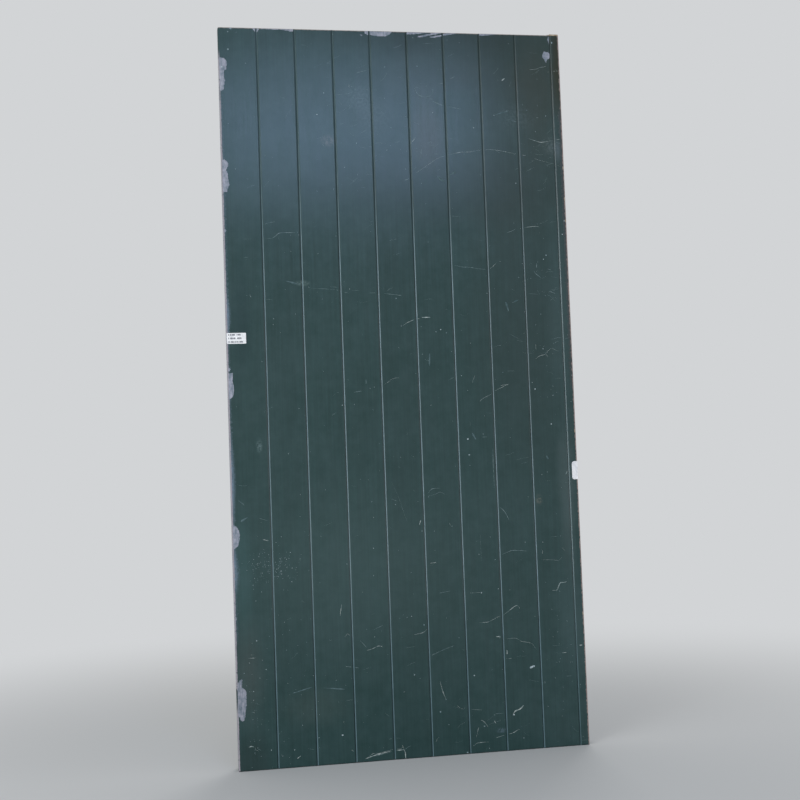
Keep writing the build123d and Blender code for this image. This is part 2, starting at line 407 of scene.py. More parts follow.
@dataclass(frozen=True)
class Undercoat:
    """Flat grey-lilac primer undercoat that shows where the green has flaked off.

    To the eye: chalky and matt, cooler and darker in the middle of a flake, paler in streaks down the grain,
    and darker near the ground, which is painted shade.
    """

    name: str = "flat_grey_undercoat"
    dark: str = "#6a7985"
    pale: str = "#b0b1bf"
    painted_shade_below: float = 0.35
    painted_shade_fade: float = 0.3  # over this height the painted shade thins out above it
    grime_and_painted_shade: float = 0.84  # how bright the painted shade near the ground is beside the unshaded part

    def material(self) -> bpy.types.Material:
        """Build the material.

        Returns:
            The finished material.
        """
        material, add, place = start_material(self.name)
        # Streaks down the grain, 3 mm wide and 30 mm long, and patches 11 mm across
        down = add("Mapping", {"Vector": place, "Scale": (per_metre(3), per_metre(3), per_metre(30))})
        grain = add("TexNoise", {"Vector": down.outputs[0], "Scale": 1.0, "Detail": 4.0,
                                 "Roughness": 0.65}).outputs["Fac"]
        patch = add("TexNoise", {"Vector": place, "Scale": per_metre(11), "Detail": 4.0, "Roughness": 0.65})
        both = add("Math", {0: grain, 1: patch.outputs["Fac"]}, operation="ADD").outputs[0]
        share = add("MapRange", {0: both, 1: 0.78, 2: 1.22}).outputs[0]
        colour = add("Mix", {0: share, 6: linear(self.dark), 7: linear(self.pale)}, data_type="RGBA")
        up = add("SeparateXYZ", {0: place}).outputs["Z"]
        # Painted shade: the undercoat is darker low down, and fades to its own colour above
        clean = add("MapRange", {0: up, 1: self.painted_shade_below, 2: self.painted_shade_below + self.painted_shade_fade,
                                 3: self.grime_and_painted_shade})
        colour = add("HueSaturation", {"Value": clean.outputs[0], "Color": colour.outputs[2]})
        relief = add("Bump", {"Strength": 0.5, "Distance": 0.2 * MM, "Height": grain})
        shader = add("BsdfPrincipled", {"Base Color": colour.outputs[0], "Roughness": 0.72,
                                        "Normal": relief.outputs[0]})
        add("OutputMaterial", {0: shader.outputs[0]})
        return material


@dataclass(frozen=True)
class Chalk:
    """Scuff of chalky dirt or rubbed paint, dry and matt.

    To the eye: a thin pale line that is a little uneven along its length.
    """

    name: str
    colour: str
    faded: str

    def material(self) -> bpy.types.Material:
        """Build the material.

        Returns:
            The finished material.
        """
        material, add, place = start_material(self.name)
        # Breaks in the chalk every 5 to 10 mm
        breaks = add("TexNoise", {"Vector": place, "Scale": per_metre(8), "Detail": 3.0, "Roughness": 0.6})
        share = add("MapRange", {0: breaks.outputs["Fac"], 1: 0.4, 2: 0.62}).outputs[0]
        colour = add("Mix", {0: share, 6: linear(self.faded), 7: linear(self.colour)}, data_type="RGBA")
        shader = add("BsdfPrincipled", {"Base Color": colour.outputs[2], "Roughness": 0.8,
                                        "Specular IOR Level": 0.3})
        add("OutputMaterial", {0: shader.outputs[0]})
        return material


@dataclass(frozen=True)
class RawPine:
    """Raw softwood where the ripped board was cut and never painted.

    To the eye: cream with browner lines of growth, dry and matt.
    """

    name: str = "raw_pine_end"
    early: str = "#c2b39d"
    late: str = "#9b866f"

    def material(self) -> bpy.types.Material:
        """Build the material.

        Returns:
            The finished material.
        """
        material, add, place = start_material(self.name)
        # Growth rings: 2.5 mm apart really, drawn 16 mm apart so that they show on so narrow an end. The node
        # draws 20 / (2 pi) rings in each 50 mm.
        rings = add("TexWave", {"Vector": place, "Scale": per_metre(50), "Distortion": 3.0, "Detail": 2.0,
                                "Detail Scale": 1.5}, wave_type="RINGS", rings_direction="Z").outputs["Fac"]
        colour = add("Mix", {0: rings, 6: linear(self.late), 7: linear(self.early)}, data_type="RGBA")
        relief = add("Bump", {"Strength": 0.4, "Distance": 0.2 * MM, "Height": rings})
        shader = add("BsdfPrincipled", {"Base Color": colour.outputs[2], "Roughness": 0.75,
                                        "Normal": relief.outputs[0]})
        add("OutputMaterial", {0: shader.outputs[0]})
        return material


@dataclass(frozen=True)
class ZincSteel:
    """Zinc-plated steel of the screws.

    To the eye: a dull silver with a faint cloudy bloom.
    """

    name: str = "zinc_plated_steel"
    colour: str = "#b9bcbc"
    bloom: str = "#8f9496"

    def material(self) -> bpy.types.Material:
        """Build the material.

        Returns:
            The finished material.
        """
        material, add, place = start_material(self.name)
        # Bloom in patches of about 2 mm
        bloom = add("TexNoise", {"Vector": place, "Scale": per_metre(2), "Detail": 3.0}).outputs["Fac"]
        colour = add("Mix", {0: bloom, 6: linear(self.bloom), 7: linear(self.colour)}, data_type="RGBA")
        rough = add("MapRange", {0: bloom, 1: 0.3, 2: 0.7, 3: 0.28, 4: 0.45}).outputs[0]
        shader = add("BsdfPrincipled", {"Base Color": colour.outputs[2], "Metallic": 1.0, "Roughness": rough})
        add("OutputMaterial", {0: shader.outputs[0]})
        return material


@dataclass(frozen=True)
class LabelPaper:
    """White matt label paper with a few rows of plain grey dashes printed on it, nothing that can be read.

    To the eye: nearly white, with soft grey rows and a little grime.
    """

    name: str
    foot: float  # height of the label's lower edge
    left: float  # X of its left edge
    width: float
    height: float
    rows: int
    paper: str = "#fcfcfd"
    grime_and_painted_shade: str = "#e0e1e6"
    ink: str = "#4e525c"
    ink_share: float = 0.75
    row_print: tuple[float, float] = (0.5, 0.24)  # middle and half height of a row's print, in rows
    print_width: tuple[float, float] = (0.46, 0.38)  # its middle and half width, in widths of the label

    def material(self) -> bpy.types.Material:
        """Build the material.

        Returns:
            The finished material.
        """
        material, add, place = start_material(self.name)
        dirt = add("TexNoise", {"Vector": place, "Scale": per_metre(12), "Detail": 4.0})
        share = add("MapRange", {0: dirt.outputs["Fac"], 1: 0.5, 2: 0.75}).outputs[0]
        colour = add("Mix", {0: share, 6: linear(self.paper), 7: linear(self.grime_and_painted_shade)},
                     data_type="RGBA").outputs[2]
        if self.rows:
            share = self.inked(add, add("SeparateXYZ", {0: place}).outputs)
            colour = add("Mix", {0: share, 6: colour, 7: linear(self.ink)}, data_type="RGBA").outputs[2]
        shader = add("BsdfPrincipled", {"Base Color": colour, "Roughness": 0.6})
        add("OutputMaterial", {0: shader.outputs[0]})
        return material

    def inked(self, add: AddNode, along: Mapping[str, Socket]) -> Socket:
        """Work out where the rows of dashes are.

        Args:
            add: Adds a node to the material.
            along: X, Y and Z of the place on the leaf.

        Returns:
            Share of ink.
        """
        up = add("MapRange", {0: along["Z"], 1: self.foot, 2: self.foot + self.height, 4: float(self.rows)},
                 clamp=False).outputs[0]
        across = add("MapRange", {0: along["X"], 1: self.left, 2: self.left + self.width},
                     clamp=False).outputs[0]
        row = add("Math", {0: up}, operation="FLOOR").outputs[0]
        within = add("Math", {0: up}, operation="FRACT").outputs[0]
        # Dashes of 1 to 4 mm along each row, others in each row because the noise is 7.3 units further on
        spot = add("CombineXYZ", {0: along["X"], 1: row}).outputs[0]
        spot = add("Mapping", {"Vector": spot, "Scale": (per_metre(3), 7.3, 1.0)}).outputs[0]
        dash = add("TexNoise", {"Vector": spot, "Scale": 1.0, "Detail": 2.0}, noise_dimensions="2D")
        share = add("Math", {0: dash.outputs["Fac"], 1: 0.47}, operation="GREATER_THAN").outputs[0]
        for at, (middle, half) in ((within, self.row_print), (across, self.print_width)):
            off = add("Math", {0: at, 1: middle}, operation="SUBTRACT").outputs[0]
            off = add("Math", {0: off}, operation="ABSOLUTE").outputs[0]
            inside = add("Math", {0: off, 1: half}, operation="LESS_THAN").outputs[0]
            share = add("Math", {0: share, 1: inside}, operation="MULTIPLY").outputs[0]
        return add("Math", {0: share, 1: self.ink_share}, operation="MULTIPLY").outputs[0]


# Modelling by hand


def pick_up(obj: bpy.types.Object) -> None:
    """Select one object alone and make it the active one.

    Args:
        obj: The object.
    """
    bpy.ops.object.select_all(action="DESELECT")
    obj.select_set(True)
    bpy.context.view_layer.objects.active = obj


def in_edit_mode(obj: bpy.types.Object, *steps: Callable[[], Any]) -> None:
    """Run operators on all of an object's mesh.

    Args:
        obj: Mesh object.
        steps: Calls to run in turn, each on everything selected.
    """
    pick_up(obj)
    bpy.ops.object.mode_set(mode="EDIT")
    for step in steps:
        bpy.ops.mesh.select_all(action="SELECT")
        step()
    bpy.ops.object.mode_set(mode="OBJECT")


def finish_piece(obj: bpy.types.Object, name: str, slot: str, *materials: bpy.types.Material,
                 replaces: Sequence[str] = ()) -> None:
    """Name, dress and fasten a finished piece.

    Args:
        obj: The piece, its place in its mesh.
        name: Name of the piece.
        slot: The record's material slot; not used.
        materials: Materials for the mesh's slots, in order; none where it has its own already.
        replaces: CAD nodes that the piece stands for.
    """
    obj.name = name
    obj.data.name = name
    for i, material in enumerate(materials):
        if i < len(obj.data.materials):
            obj.data.materials[i] = material
        else:
            obj.data.materials.append(material)
    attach(obj, "root")
    if replaces:
        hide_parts(*replaces)
    LOG.info("%s: %d faces", name, len(obj.data.polygons))


def copy_of_node(node: str) -> bpy.types.Object:
    """Make a free copy of a CAD node's mesh, its doubles merged and its flats whole again.

    Args:
        node: Name of the node.

    Returns:
        The copy.
    """
    obj = bpy.data.objects.new(node + "_copy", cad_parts[node].data.copy())
    obj.data.materials.clear()
    bpy.context.scene.collection.objects.link(obj)
    in_edit_mode(obj,
                 partial(bpy.ops.mesh.remove_doubles, threshold=WELD),
                 partial(bpy.ops.mesh.dissolve_limited, angle_limit=FLAT))
    return obj


def ease_edges(obj: bpy.types.Object, wanted: Callable[[Vector, Vector], bool], width: float) -> None:
    """Round some of an object's sharp edges as paint and sandpaper do.

    Args:
        obj: Mesh object.
        wanted: Says of an edge's two ends whether it is rounded.
        width: How far the round reaches from the edge.
    """
    mesh = obj.data
    for part in (mesh.vertices, mesh.edges, mesh.polygons):
        part.foreach_set("select", [False] * len(part))
    sides: dict[tuple[int, int], list[Vector]] = {}
    for face in mesh.polygons:
        for key in face.edge_keys:
            sides.setdefault(key, []).append(face.normal)
    for edge in mesh.edges:
        start, end = [mesh.vertices[i] for i in edge.vertices]
        normals = sides.get(edge.key, [])
        if len(normals) == 2 and normals[0].angle(normals[1], 0.0) > SHARP and wanted(start.co, end.co):
            edge.select = start.select = end.select = True
    pick_up(obj)
    bpy.ops.object.mode_set(mode="EDIT")
    bpy.ops.mesh.select_mode(type="EDGE")
    bpy.ops.mesh.bevel(offset=width, segments=2, profile=0.5, clamp_overlap=True)
    bpy.ops.object.mode_set(mode="OBJECT")


def frayed(outline: Outline, step: float, amount: float, chance: random.Random) -> Outline:
    """Break an outline's sides into short ones and shift each point a little.

    Args:
        outline: Corners in millimetres.
        step: About how long a side is left.
        amount: Furthest shift of a point.
        chance: Seeded source of the shifts.

    Returns:
        The new outline, in metres.
    """
    made = []
    for (x0, z0), (x1, z1) in zip(outline, [*outline[1:], outline[0]]):
        count = max(1, round(math.hypot(x1 - x0, z1 - z0) / step))
        for i in range(count):
            t = i / count
            made.append(((x0 + (x1 - x0) * t + chance.uniform(-amount, amount)) * MM,
                         (z0 + (z1 - z0) * t + chance.uniform(-amount, amount)) * MM))
    return made


def slab(outline: Outline, front: float, back: float) -> bpy.types.Object:
    """Make a closed slab with its outline drawn on the face of the leaf.

    Args:
        outline: Points (x, z) in metres, in order.
        front: Y of its front.
        back: Y of its back.

    Returns:
        The slab as a mesh object at the origin.
    """
    bpy.ops.object.select_all(action="DESELECT")
    bpy.ops.mesh.primitive_circle_add(vertices=len(outline), radius=1.0, fill_type="NGON")
    obj = bpy.context.object
    for vertex, (x, z) in zip(obj.data.vertices, outline):
        vertex.co = (x, front, z)
    in_edit_mode(obj,
                 partial(bpy.ops.mesh.extrude_region_move,
                         TRANSFORM_OT_translate={"value": (0.0, back - front, 0.0)}),
                 partial(bpy.ops.mesh.normals_make_consistent, inside=False))
    return obj


def joined(parts: Sequence[bpy.types.Object]) -> bpy.types.Object:
    """Join objects into the first of them.

    Args:
        parts: Two objects or more.

    Returns:
        The first, which holds the others' meshes now.
    """
    bpy.ops.object.select_all(action="DESELECT")
    for part in parts:
        part.select_set(True)
    bpy.context.view_layer.objects.active = parts[0]
    bpy.ops.object.join()
    return parts[0]


def carve(obj: bpy.types.Object, cutter: bpy.types.Object) -> None:
    """Cut one object out of another, and throw the cutter away.

    Args:
        obj: The piece that is cut.
        cutter: What is cut out of it. Its material shows on the new faces.

    Raises:
        ValueError: The cut left nothing, or left some of the cutter behind.
    """
    low, high = Vector(obj.bound_box[0]), Vector(obj.bound_box[6])
    pick_up(obj)
    cut = obj.modifiers.new("cut", "BOOLEAN")
    cut.operation = "DIFFERENCE"
    cut.solver = "EXACT"
    cut.use_self = True
    cut.material_mode = "TRANSFER"
    cut.object = cutter
    bpy.ops.object.modifier_apply(modifier=cut.name)
    bpy.data.objects.remove(cutter)
    bpy.context.view_layer.update()
    grown = max(*(low - Vector(obj.bound_box[0])), *(Vector(obj.bound_box[6]) - high))
    if not obj.data.polygons or grown > CUT_SLACK:
        raise ValueError(f"the cut went wrong on {obj.name}")


# The boards


# Flakes where the green has come off, as outlines (x, z) in millimetres on the face, by board number
FLAKES: dict[int, list[Outline]] = {
    1: [
        [(-466, 1838), (-455, 1839), (-448, 1837), (-442, 1831), (-440, 1824), (-442, 1815), (-443, 1807),
         (-448, 1804), (-449, 1797), (-449, 1786), (-446, 1778), (-448, 1772), (-450, 1762), (-451, 1755),
         (-455, 1750), (-466, 1754)],
        [(-466, 1567), (-455, 1569), (-449, 1565), (-445, 1558), (-445, 1552), (-449, 1546), (-450, 1540),
         (-447, 1531), (-446, 1517), (-443, 1503), (-447, 1494), (-450, 1483), (-466, 1485)],
        [(-466, 1387), (-457, 1386), (-454, 1382), (-457, 1378), (-466, 1377)],
        [(-466, 1027), (-456, 1025), (-454, 1021), (-458, 1016), (-466, 1015)],
        [(-466, 1011), (-449, 1012), (-449, 999), (-450, 989), (-447, 979), (-447, 964), (-450, 951),
         (-456, 945), (-466, 943)],
        [(-466, 622), (-457, 622), (-450, 616), (-445, 608), (-442.5, 597), (-444, 584), (-446, 575),
         (-449, 567), (-456, 562), (-466, 557)],
        [(-466, 391), (-458, 389), (-456, 385), (-458, 380), (-466, 379)],
        [(-447, 232), (-455, 229), (-459, 221), (-466, 214), (-466, 139), (-457, 137), (-455, 129),
         (-450, 126), (-445, 128), (-442, 138), (-441, 151), (-438, 167), (-438, 185), (-438, 198),
         (-441, 206), (-448, 210), (-448, 222)],
        [(-379, 1923), (-358, 1923), (-359, 1912), (-363, 1907), (-367, 1912), (-372, 1917)],
        [(-433, 1923), (-426, 1923), (-426, 1917), (-429, 1915), (-432, 1917)],
    ],
    2: [
        [(-366, 1923), (-353, 1923), (-355, 1915), (-359, 1909), (-366, 1909)],
        [(-352, 1923), (-262, 1923), (-264, 1914), (-272, 1912), (-284, 1915), (-300, 1917), (-318, 1916),
         (-336, 1917), (-349, 1917)],
    ],
    4: [
        [(-88, 1908), (-86, 1909), (-81, 1908), (-80, 1906), (-84, 1905)],
        [(-75, 1917), (-72, 1919), (-70, 1923), (-60, 1923), (-60, 1908), (-66, 1908), (-72, 1911)],
    ],
    5: [
        [(-64, 1923), (1, 1923), (0, 1917), (-6, 1911), (-15, 1906), (-37, 1905), (-54, 1907), (-64, 1909)],
    ],
    6: [
        [(40, 1923), (141, 1923), (141, 1919), (95, 1918), (70, 1914), (40, 1912)],
        [(68, 1905), (84, 1906), (100, 1911), (118, 1914), (141, 1919), (120, 1919), (98, 1915), (74, 1909)],
        [(100, 1907), (112, 1905), (128, 1908), (141, 1911), (141, 1914), (122, 1911)],
    ],
    7: [
        [(134, 1910), (146, 1912), (160, 1915), (176, 1918), (177, 1923), (160, 1923), (134, 1914)],
    ],
    8: [
        [(236, 1923), (294, 1923), (288, 1918), (268, 1916), (250, 1913.5), (236, 1914)],
    ],
    9: [
        [(433, 1914), (437, 1918), (444, 1917), (444, 1890), (440, 1887), (436, 1892), (434, 1899),
         (431, 1906)],
        [(414, 1857), (416, 1867), (420, 1874), (430, 1872), (437, 1868), (436, 1857), (432, 1853),
         (428, 1852), (425, 1842), (421, 1848), (418, 1854)],
    ],
}

# Chips out of the ripped board's outer arris, down to the wood
CHIPS: list[Outline] = [
    [(458, z + half), (466, z + half + 2), (466, z - half - 2), (459, z - half)]
    for z, half in ((1553, 3), (1465, 5), (1406, 3), (835, 4), (346, 3))
]


@dataclass
class BoardedFace:
    """The nine full boards and the ripped one: rounded paint edges, flakes cut into the green."""

    edge_round: float = 0.7 * MM
    flake_depth: float = 0.5 * MM
    cutter_proud: float = 1 * MM  # how far a flake's cutter stands out of the face
    fray_step: float = 2.0  # millimetres between the points of a flake's rim
    fray_amount: float = 0.75  # millimetres that each is out of line at most
    seed: int = 7
    raw_end: float = 1.5 * MM  # the ripped board's wood is bare from this far below the others' top
    beside_arris: tuple[float, float] = (0.5 * MM, 0.2 * MM)  # how near an edge of the left arris is, X and Y
    edges: tuple[WornEdge, ...] = (
        WornEdge((1, 1, 0), LEFT + FACE + LEFT_ARRIS, reach=0.8 * MM, highest=1.735, strength=0.92),
        WornEdge((1, 1, 0), LEFT + FACE + LEFT_ARRIS, reach=0.8 * MM, lowest=1.75, highest=1.835),
        WornEdge((0, 1, -1), FACE - HEAD + THIN_ARRIS, reach=0.9 * MM, strength=0.85, pale="#aaa19a",
                 dark="#837b77"),
        # Along the foot: grime, and painted shadow of the gap under the leaf
        WornEdge((0, 0, 1), 0.0, reach=2.4 * MM, strength=0.6, pale="#3d322d", dark="#161a1a"),
    )  # the left arris in two stretches, the top one, and along the foot grime with painted shadow of the gap under the leaf
    ripped_edges: tuple[WornEdge, ...] = (
        WornEdge((-1, 0, 0), -RIGHT + 6 * MM, reach=5 * MM, lowest=0.95, highest=1.72, strength=0.5,
                 pale="#4c4546", dark="#403b3c"),
        WornEdge((-1, 1, 0), -RIGHT + FACE + THIN_ARRIS, reach=2.0 * MM, pale="#a8958f", dark="#82736f"),
    )  # a darker brown band beside the right arris, and the arris itself
    # Beside the left arris the green is thin in places and a bluish grey shows through: each place's width,
    # foot, top and share of grey
    thin_bands: tuple[tuple[float, float, float, float], ...] = (
        (4.5 * MM, 0.32, 1.74, 0.2), (5.5 * MM, 1.11, 1.21, 0.4), (5.5 * MM, 0.63, 0.84, 0.25),
        (6 * MM, 0.47, 0.56, 0.3),
    )
    hazes: tuple[Haze, ...] = (
        # Painted shade: the next two darken the top of the leaf, most on the right
        Haze((110, 1918), (540, 90), "#1c2a28", 0.42),
        Haze((310, 1870), (320, 240), "#1e2a20", 0.43),
        Haze((330, 1560), (260, 340), "#4b3e2f", 0.11),
        Haze((90, 1810), (220, 110), "#3a3a34", 0.11),
        # Painted shade that trims the lower rim of the high box's sheen
        Haze((150, 1500), (620, 150), "#263434", 0.3),
        # Painted shade, darker on the right-hand boards, away from the light at the left
        Haze((330, 1150), (190, 640), "#2e3d3c", 0.42),
        Haze((-150, 510), (430, 300), "#4e6464", 0.2),
        Haze((430, 660), (34, 260), "#6d7a7c", 0.22),
        Haze((-430, 240), (60, 190), "#6a6866", 0.16),
        Haze((88, 1650), (66, 130), "#5f5b5a", 0.22),
        Haze((-437, 500), (36, 260), "#4b7678", 0.15),
        Haze((432, 1150), (55, 400), "#5d7377", 0.14),
        Haze((432, 300), (60, 220), "#5d7377", 0.16),
        Haze((-262, 150), (120, 70), "#5c6660", 0.14),
        Haze((-425, 1140), (40, 190), "#1d3539", 0.4),
        Haze((-430, 20), (70, 120), "#262b2a", 0.3),
        Haze((-100, 1740), (60, 60), "#6f848c", 0.12, 1.0),
        Haze((-181, 1621), (26, 20), "#7d7b7e", 0.22, 1.0),
        Haze((-386, 822), (12, 26), "#7b9193", 0.24, 1.0),
        Haze((-460, 730), (14, 130), "#7c90a4", 0.4, 1.0),
        Haze((-460, 505), (18, 70), "#7c90a4", 0.45, 1.0),
        Haze((-460, 1160), (14, 60), "#7c90a4", 0.4, 1.0),
        Haze((351, 653), (15, 22), "#7a7a70", 0.24, 1.0),
        Haze((223, 55), (18, 10), "#6c8090", 0.3, 1.0),
        Haze((-60, 1690), (70, 80), "#7b8a94", 0.07, 1.0),
        Haze((335, 1690), (80, 50), "#6f7f84", 0.08, 1.0),
        Haze((430, 1610), (34, 40), "#7a868a", 0.16, 1.0),
        Haze((-262, 1243), (26, 10), "#7d9290", 0.26, 0.8),
        # Painted shade: the next two darken the upper right and the ripped board's top
        Haze((395, 1760), (90, 280), "#3a413a", 0.42),
        Haze((456, 1850), (26, 190), "#2d2c18", 0.75),
        Haze((447, 1600), (12, 50), "#65727a", 0.4),
    )

    def build(self) -> None:
        """Build every board."""
        bands = tuple(WornEdge((1, 0, 0), LEFT + width, reach=4.5 * MM, lowest=foot, highest=top,
                               strength=share, pale="#8592a2", dark="#5f7488")
                      for width, foot, top, share in self.thin_bands)
        paint = SatinPaint("green_satin_wood_paint", board_cover=BOARD_COVER, edges=bands + self.edges,
                           hazes=self.hazes).material()
        undercoat = Undercoat().material()
        for number in range(1, BOARD_COUNT + 1):
            self.build_board(number, paint, undercoat)
        self.build_ripped_board()

    def on_face(self, a: Vector, b: Vector) -> bool:
        """Whether an edge belongs to the V joints or the ends of the face, and not to the worn left arris."""
        right, back = self.beside_arris
        return max(a.y, b.y) < FACE + LEFT_ARRIS + back and max(a.x, b.x) > LEFT + LEFT_ARRIS + right

    def build_board(self, number: int, paint: bpy.types.Material, undercoat: bpy.types.Material) -> None:
        """Build one full board.

        Args:
            number: Its place from the left, from 1.
            paint: Its green paint.
            undercoat: What shows where the green is off.
        """
        node = f"board_{number}"
        obj = copy_of_node(node)
        ease_edges(obj, self.on_face, self.edge_round)
        obj.data.materials.append(paint)
        self.break_off(obj, FLAKES.get(number, []), undercoat, random.Random(self.seed + number))
        finish_piece(obj, f"painted_board_{number}", "board_paint", replaces=[node])

    def break_off(self, obj: bpy.types.Object, outlines: Iterable[Outline], below: bpy.types.Material,
                  chance: random.Random) -> None:
        """Take the paint off inside some outlines.

        Args:
            obj: The board.
            outlines: Outlines (x, z) in millimetres on the face.
            below: Material that shows there.
            chance: Seeded source of the ragged rims.
        """
        for outline in outlines:
            ragged = frayed(outline, self.fray_step, self.fray_amount, chance)
            cutter = slab(ragged, FACE - self.cutter_proud, FACE + self.flake_depth)
            cutter.data.materials.append(below)
            carve(obj, cutter)

    def build_ripped_board(self) -> None:
        """Build the narrow last board, its top end left raw and a darker brown band beside its outer arris."""
        paint = SatinPaint("green_satin_wood_paint_on_ripped_edge", board_cover=BOARD_COVER,
                           edges=self.ripped_edges, hazes=self.hazes, painted_joint_highlight="#6f8d94").material()
        pine = RawPine().material()
        obj = copy_of_node("ripped_board")
        ease_edges(obj, self.on_face, self.edge_round)
        bare_from = HEAD - self.raw_end
        in_edit_mode(obj, partial(bpy.ops.mesh.bisect, plane_co=(0.0, 0.0, bare_from),
                                  plane_no=(0.0, 0.0, 1.0)))
        obj.data.materials.append(paint)
        obj.data.materials.append(pine)
        for face in obj.data.polygons:
            face.material_index = int(face.center.z > bare_from)
        self.break_off(obj, CHIPS, pine, random.Random(self.seed))
        finish_piece(obj, "painted_ripped_board", "board_paint", replaces=["ripped_board"])


# The frame behind


@dataclass
class BackFrame:
    """Stiles, rails and braces behind the boards, painted with them."""

    timbers: tuple[str, ...] = ("left_stile", "right_stile", "top_rail", "middle_rail", "bottom_rail",
                                "lower_brace", "upper_brace")
    edge_round: float = 0.8 * MM
    arris: float = 2.6 * MM  # the timbers' long back arrises lie within this of the back
    shortest: float = 20 * MM  # a shorter edge stays sharp

    def build(self) -> None:
        """Build every timber."""
        paint = SatinPaint("green_satin_paint_on_frame", dust_share=0.4).material()
        for node in self.timbers:
            obj = copy_of_node(node)
            ease_edges(obj, self.at_back, self.edge_round)
            finish_piece(obj, "painted_" + node, "frame_paint", paint, replaces=[node])

    def at_back(self, a: Vector, b: Vector) -> bool:
        """Whether an edge is one of the long ones at the back."""
        return min(a.y, b.y) > BACK - self.arris and (a - b).length > self.shortest


@dataclass
class Screws:
    """Countersunk cross-recessed wood screws, modelled once and copied to every place."""

    groups: tuple[str, ...] = ("stile_screws", "rail_screws", "brace_screws")
    head_radius: float = 4.2 * MM
    shank_radius: float = 2.0 * MM
    length: float = 35 * MM
    point: float = 6 * MM  # length of the pointed end
    point_tip: float = 0.12  # its end's width beside the shank's
    sides: int = 20
    sunk: float = 0.4 * MM
    recess_span: float = 4.6 * MM
    recess_width: float = 0.95 * MM
    recess_depth: float = 1.7 * MM
    recess_proud: float = 0.5 * MM  # how far its cutter stands out of the head
    recess_floor: tuple[float, float] = (0.3, 0.5)  # its span and width at the bottom beside those at the top
    recess_turns: tuple[float, float] = (20, 110)  # degrees

    def build(self) -> None:
        """Build the screws of every group."""
        steel = ZincSteel().material()
        pattern = self.one_screw()
        for node in self.groups:
            copies = []
            for x, z in self.places(node):
                copy = bpy.data.objects.new("screw_copy", pattern.data.copy())
                copy.data.transform(Matrix.Translation((x, BACK - self.sunk, z)))
                bpy.context.scene.collection.objects.link(copy)
                copies.append(copy)
            finish_piece(joined(copies), "cross_recess_" + node, "screw_steel", steel, replaces=[node])
        bpy.data.objects.remove(pattern)

    def places(self, node: str) -> list[tuple[float, float]]:
        """Find where the CAD puts one group's screws, from its separate solids.

        Args:
            node: Name of the group's node.

        Returns:
            X and Z of each screw's middle, in order.
        """
        obj = copy_of_node(node)
        in_edit_mode(obj, partial(bpy.ops.mesh.separate, type="LOOSE"))
        found = []
        for part in list(bpy.context.selected_objects):
            xs = [v.co.x for v in part.data.vertices]
            zs = [v.co.z for v in part.data.vertices]
            found.append(((min(xs) + max(xs)) / 2, (min(zs) + max(zs)) / 2))
            bpy.data.objects.remove(part)
        return sorted(found)

    def one_screw(self) -> bpy.types.Object:
        """Model one screw.

        Returns:
            The screw at the origin, its head's flat at y = 0 and its point along -Y.
        """
        bpy.ops.object.select_all(action="DESELECT")
        bpy.ops.mesh.primitive_circle_add(vertices=self.sides, radius=self.head_radius, fill_type="NGON",
                                          rotation=(math.pi / 2, 0, 0))
        obj = bpy.context.object
        bpy.ops.object.transform_apply(location=True, rotation=True, scale=True)
        neck = self.head_radius - self.shank_radius
        # The head's cone, the shank and the point: how long each is, and how wide its end is beside its start
        runs = ((neck, self.shank_radius / self.head_radius), (self.length - neck - self.point, 1.0),
                (self.point, self.point_tip))
        pick_up(obj)
        bpy.ops.object.mode_set(mode="EDIT")
        bpy.ops.mesh.select_all(action="SELECT")
        depth = 0.0
        for run, taper in runs:
            depth += run
            bpy.ops.mesh.extrude_region_move(TRANSFORM_OT_translate={"value": (0.0, -run, 0.0)})
            bpy.ops.transform.resize(value=(taper, 1.0, taper), center_override=(0.0, -depth, 0.0))
        bpy.ops.mesh.select_all(action="SELECT")
        bpy.ops.mesh.normals_make_consistent(inside=False)
        bpy.ops.object.mode_set(mode="OBJECT")
        for turn in self.recess_turns:
            carve(obj, self.recess_blade(turn))
        return obj

    def recess_blade(self, turn: float) -> bpy.types.Object:
        """Make one of the two crossed wedges that the driver's recess is made of.

        Args:
            turn: Degrees that it is turned round the screw.

        Returns:
            The wedge.
        """
        bpy.ops.object.select_all(action="DESELECT")
        bpy.ops.mesh.primitive_cube_add(size=1.0, location=(0, 0, 0))
        blade = bpy.context.object
        for vertex in blade.data.vertices:
            deep = vertex.co.y < 0
            span_share, width_share = self.recess_floor if deep else (1.0, 1.0)
            vertex.co = (vertex.co.x * self.recess_span * span_share,
                         -self.recess_depth if deep else self.recess_proud,
                         vertex.co.z * self.recess_width * width_share)
        blade.data.transform(Matrix.Rotation(math.radians(turn), 4, "Y"))
        return blade


# Marks on the face


class Mark(Enum):
    """What a scuff is made of."""

    CHALK = "chalky_scuff"
    FAINT = "faint_scuff"
    SMEAR = "dusty_smear"


@dataclass(frozen=True)
class Stroke:
    """One scuff: its half width and its points (x, z), all in millimetres on the face."""

    mark: Mark
    half_width: float
    points: Outline

    @classmethod
    def seen(cls, strength: float, points: Outline) -> "Stroke":
        """Make a scuff as wide as it must be to stand out so far from the paint.

        Args:
            strength: How far it stands out, in steps of 255.
            points: Its points.

        Returns:
            The scuff, chalky where it stands out by more than 12 steps, and faint otherwise. The widths were
            fitted to what such scuffs look like from where the camera stands.
        """
        if strength > 12:
            return cls(Mark.CHALK, 0.62 * (strength / 26) ** 1.35, points)
        return cls(Mark.FAINT, 0.0125 * strength ** 1.55, points)


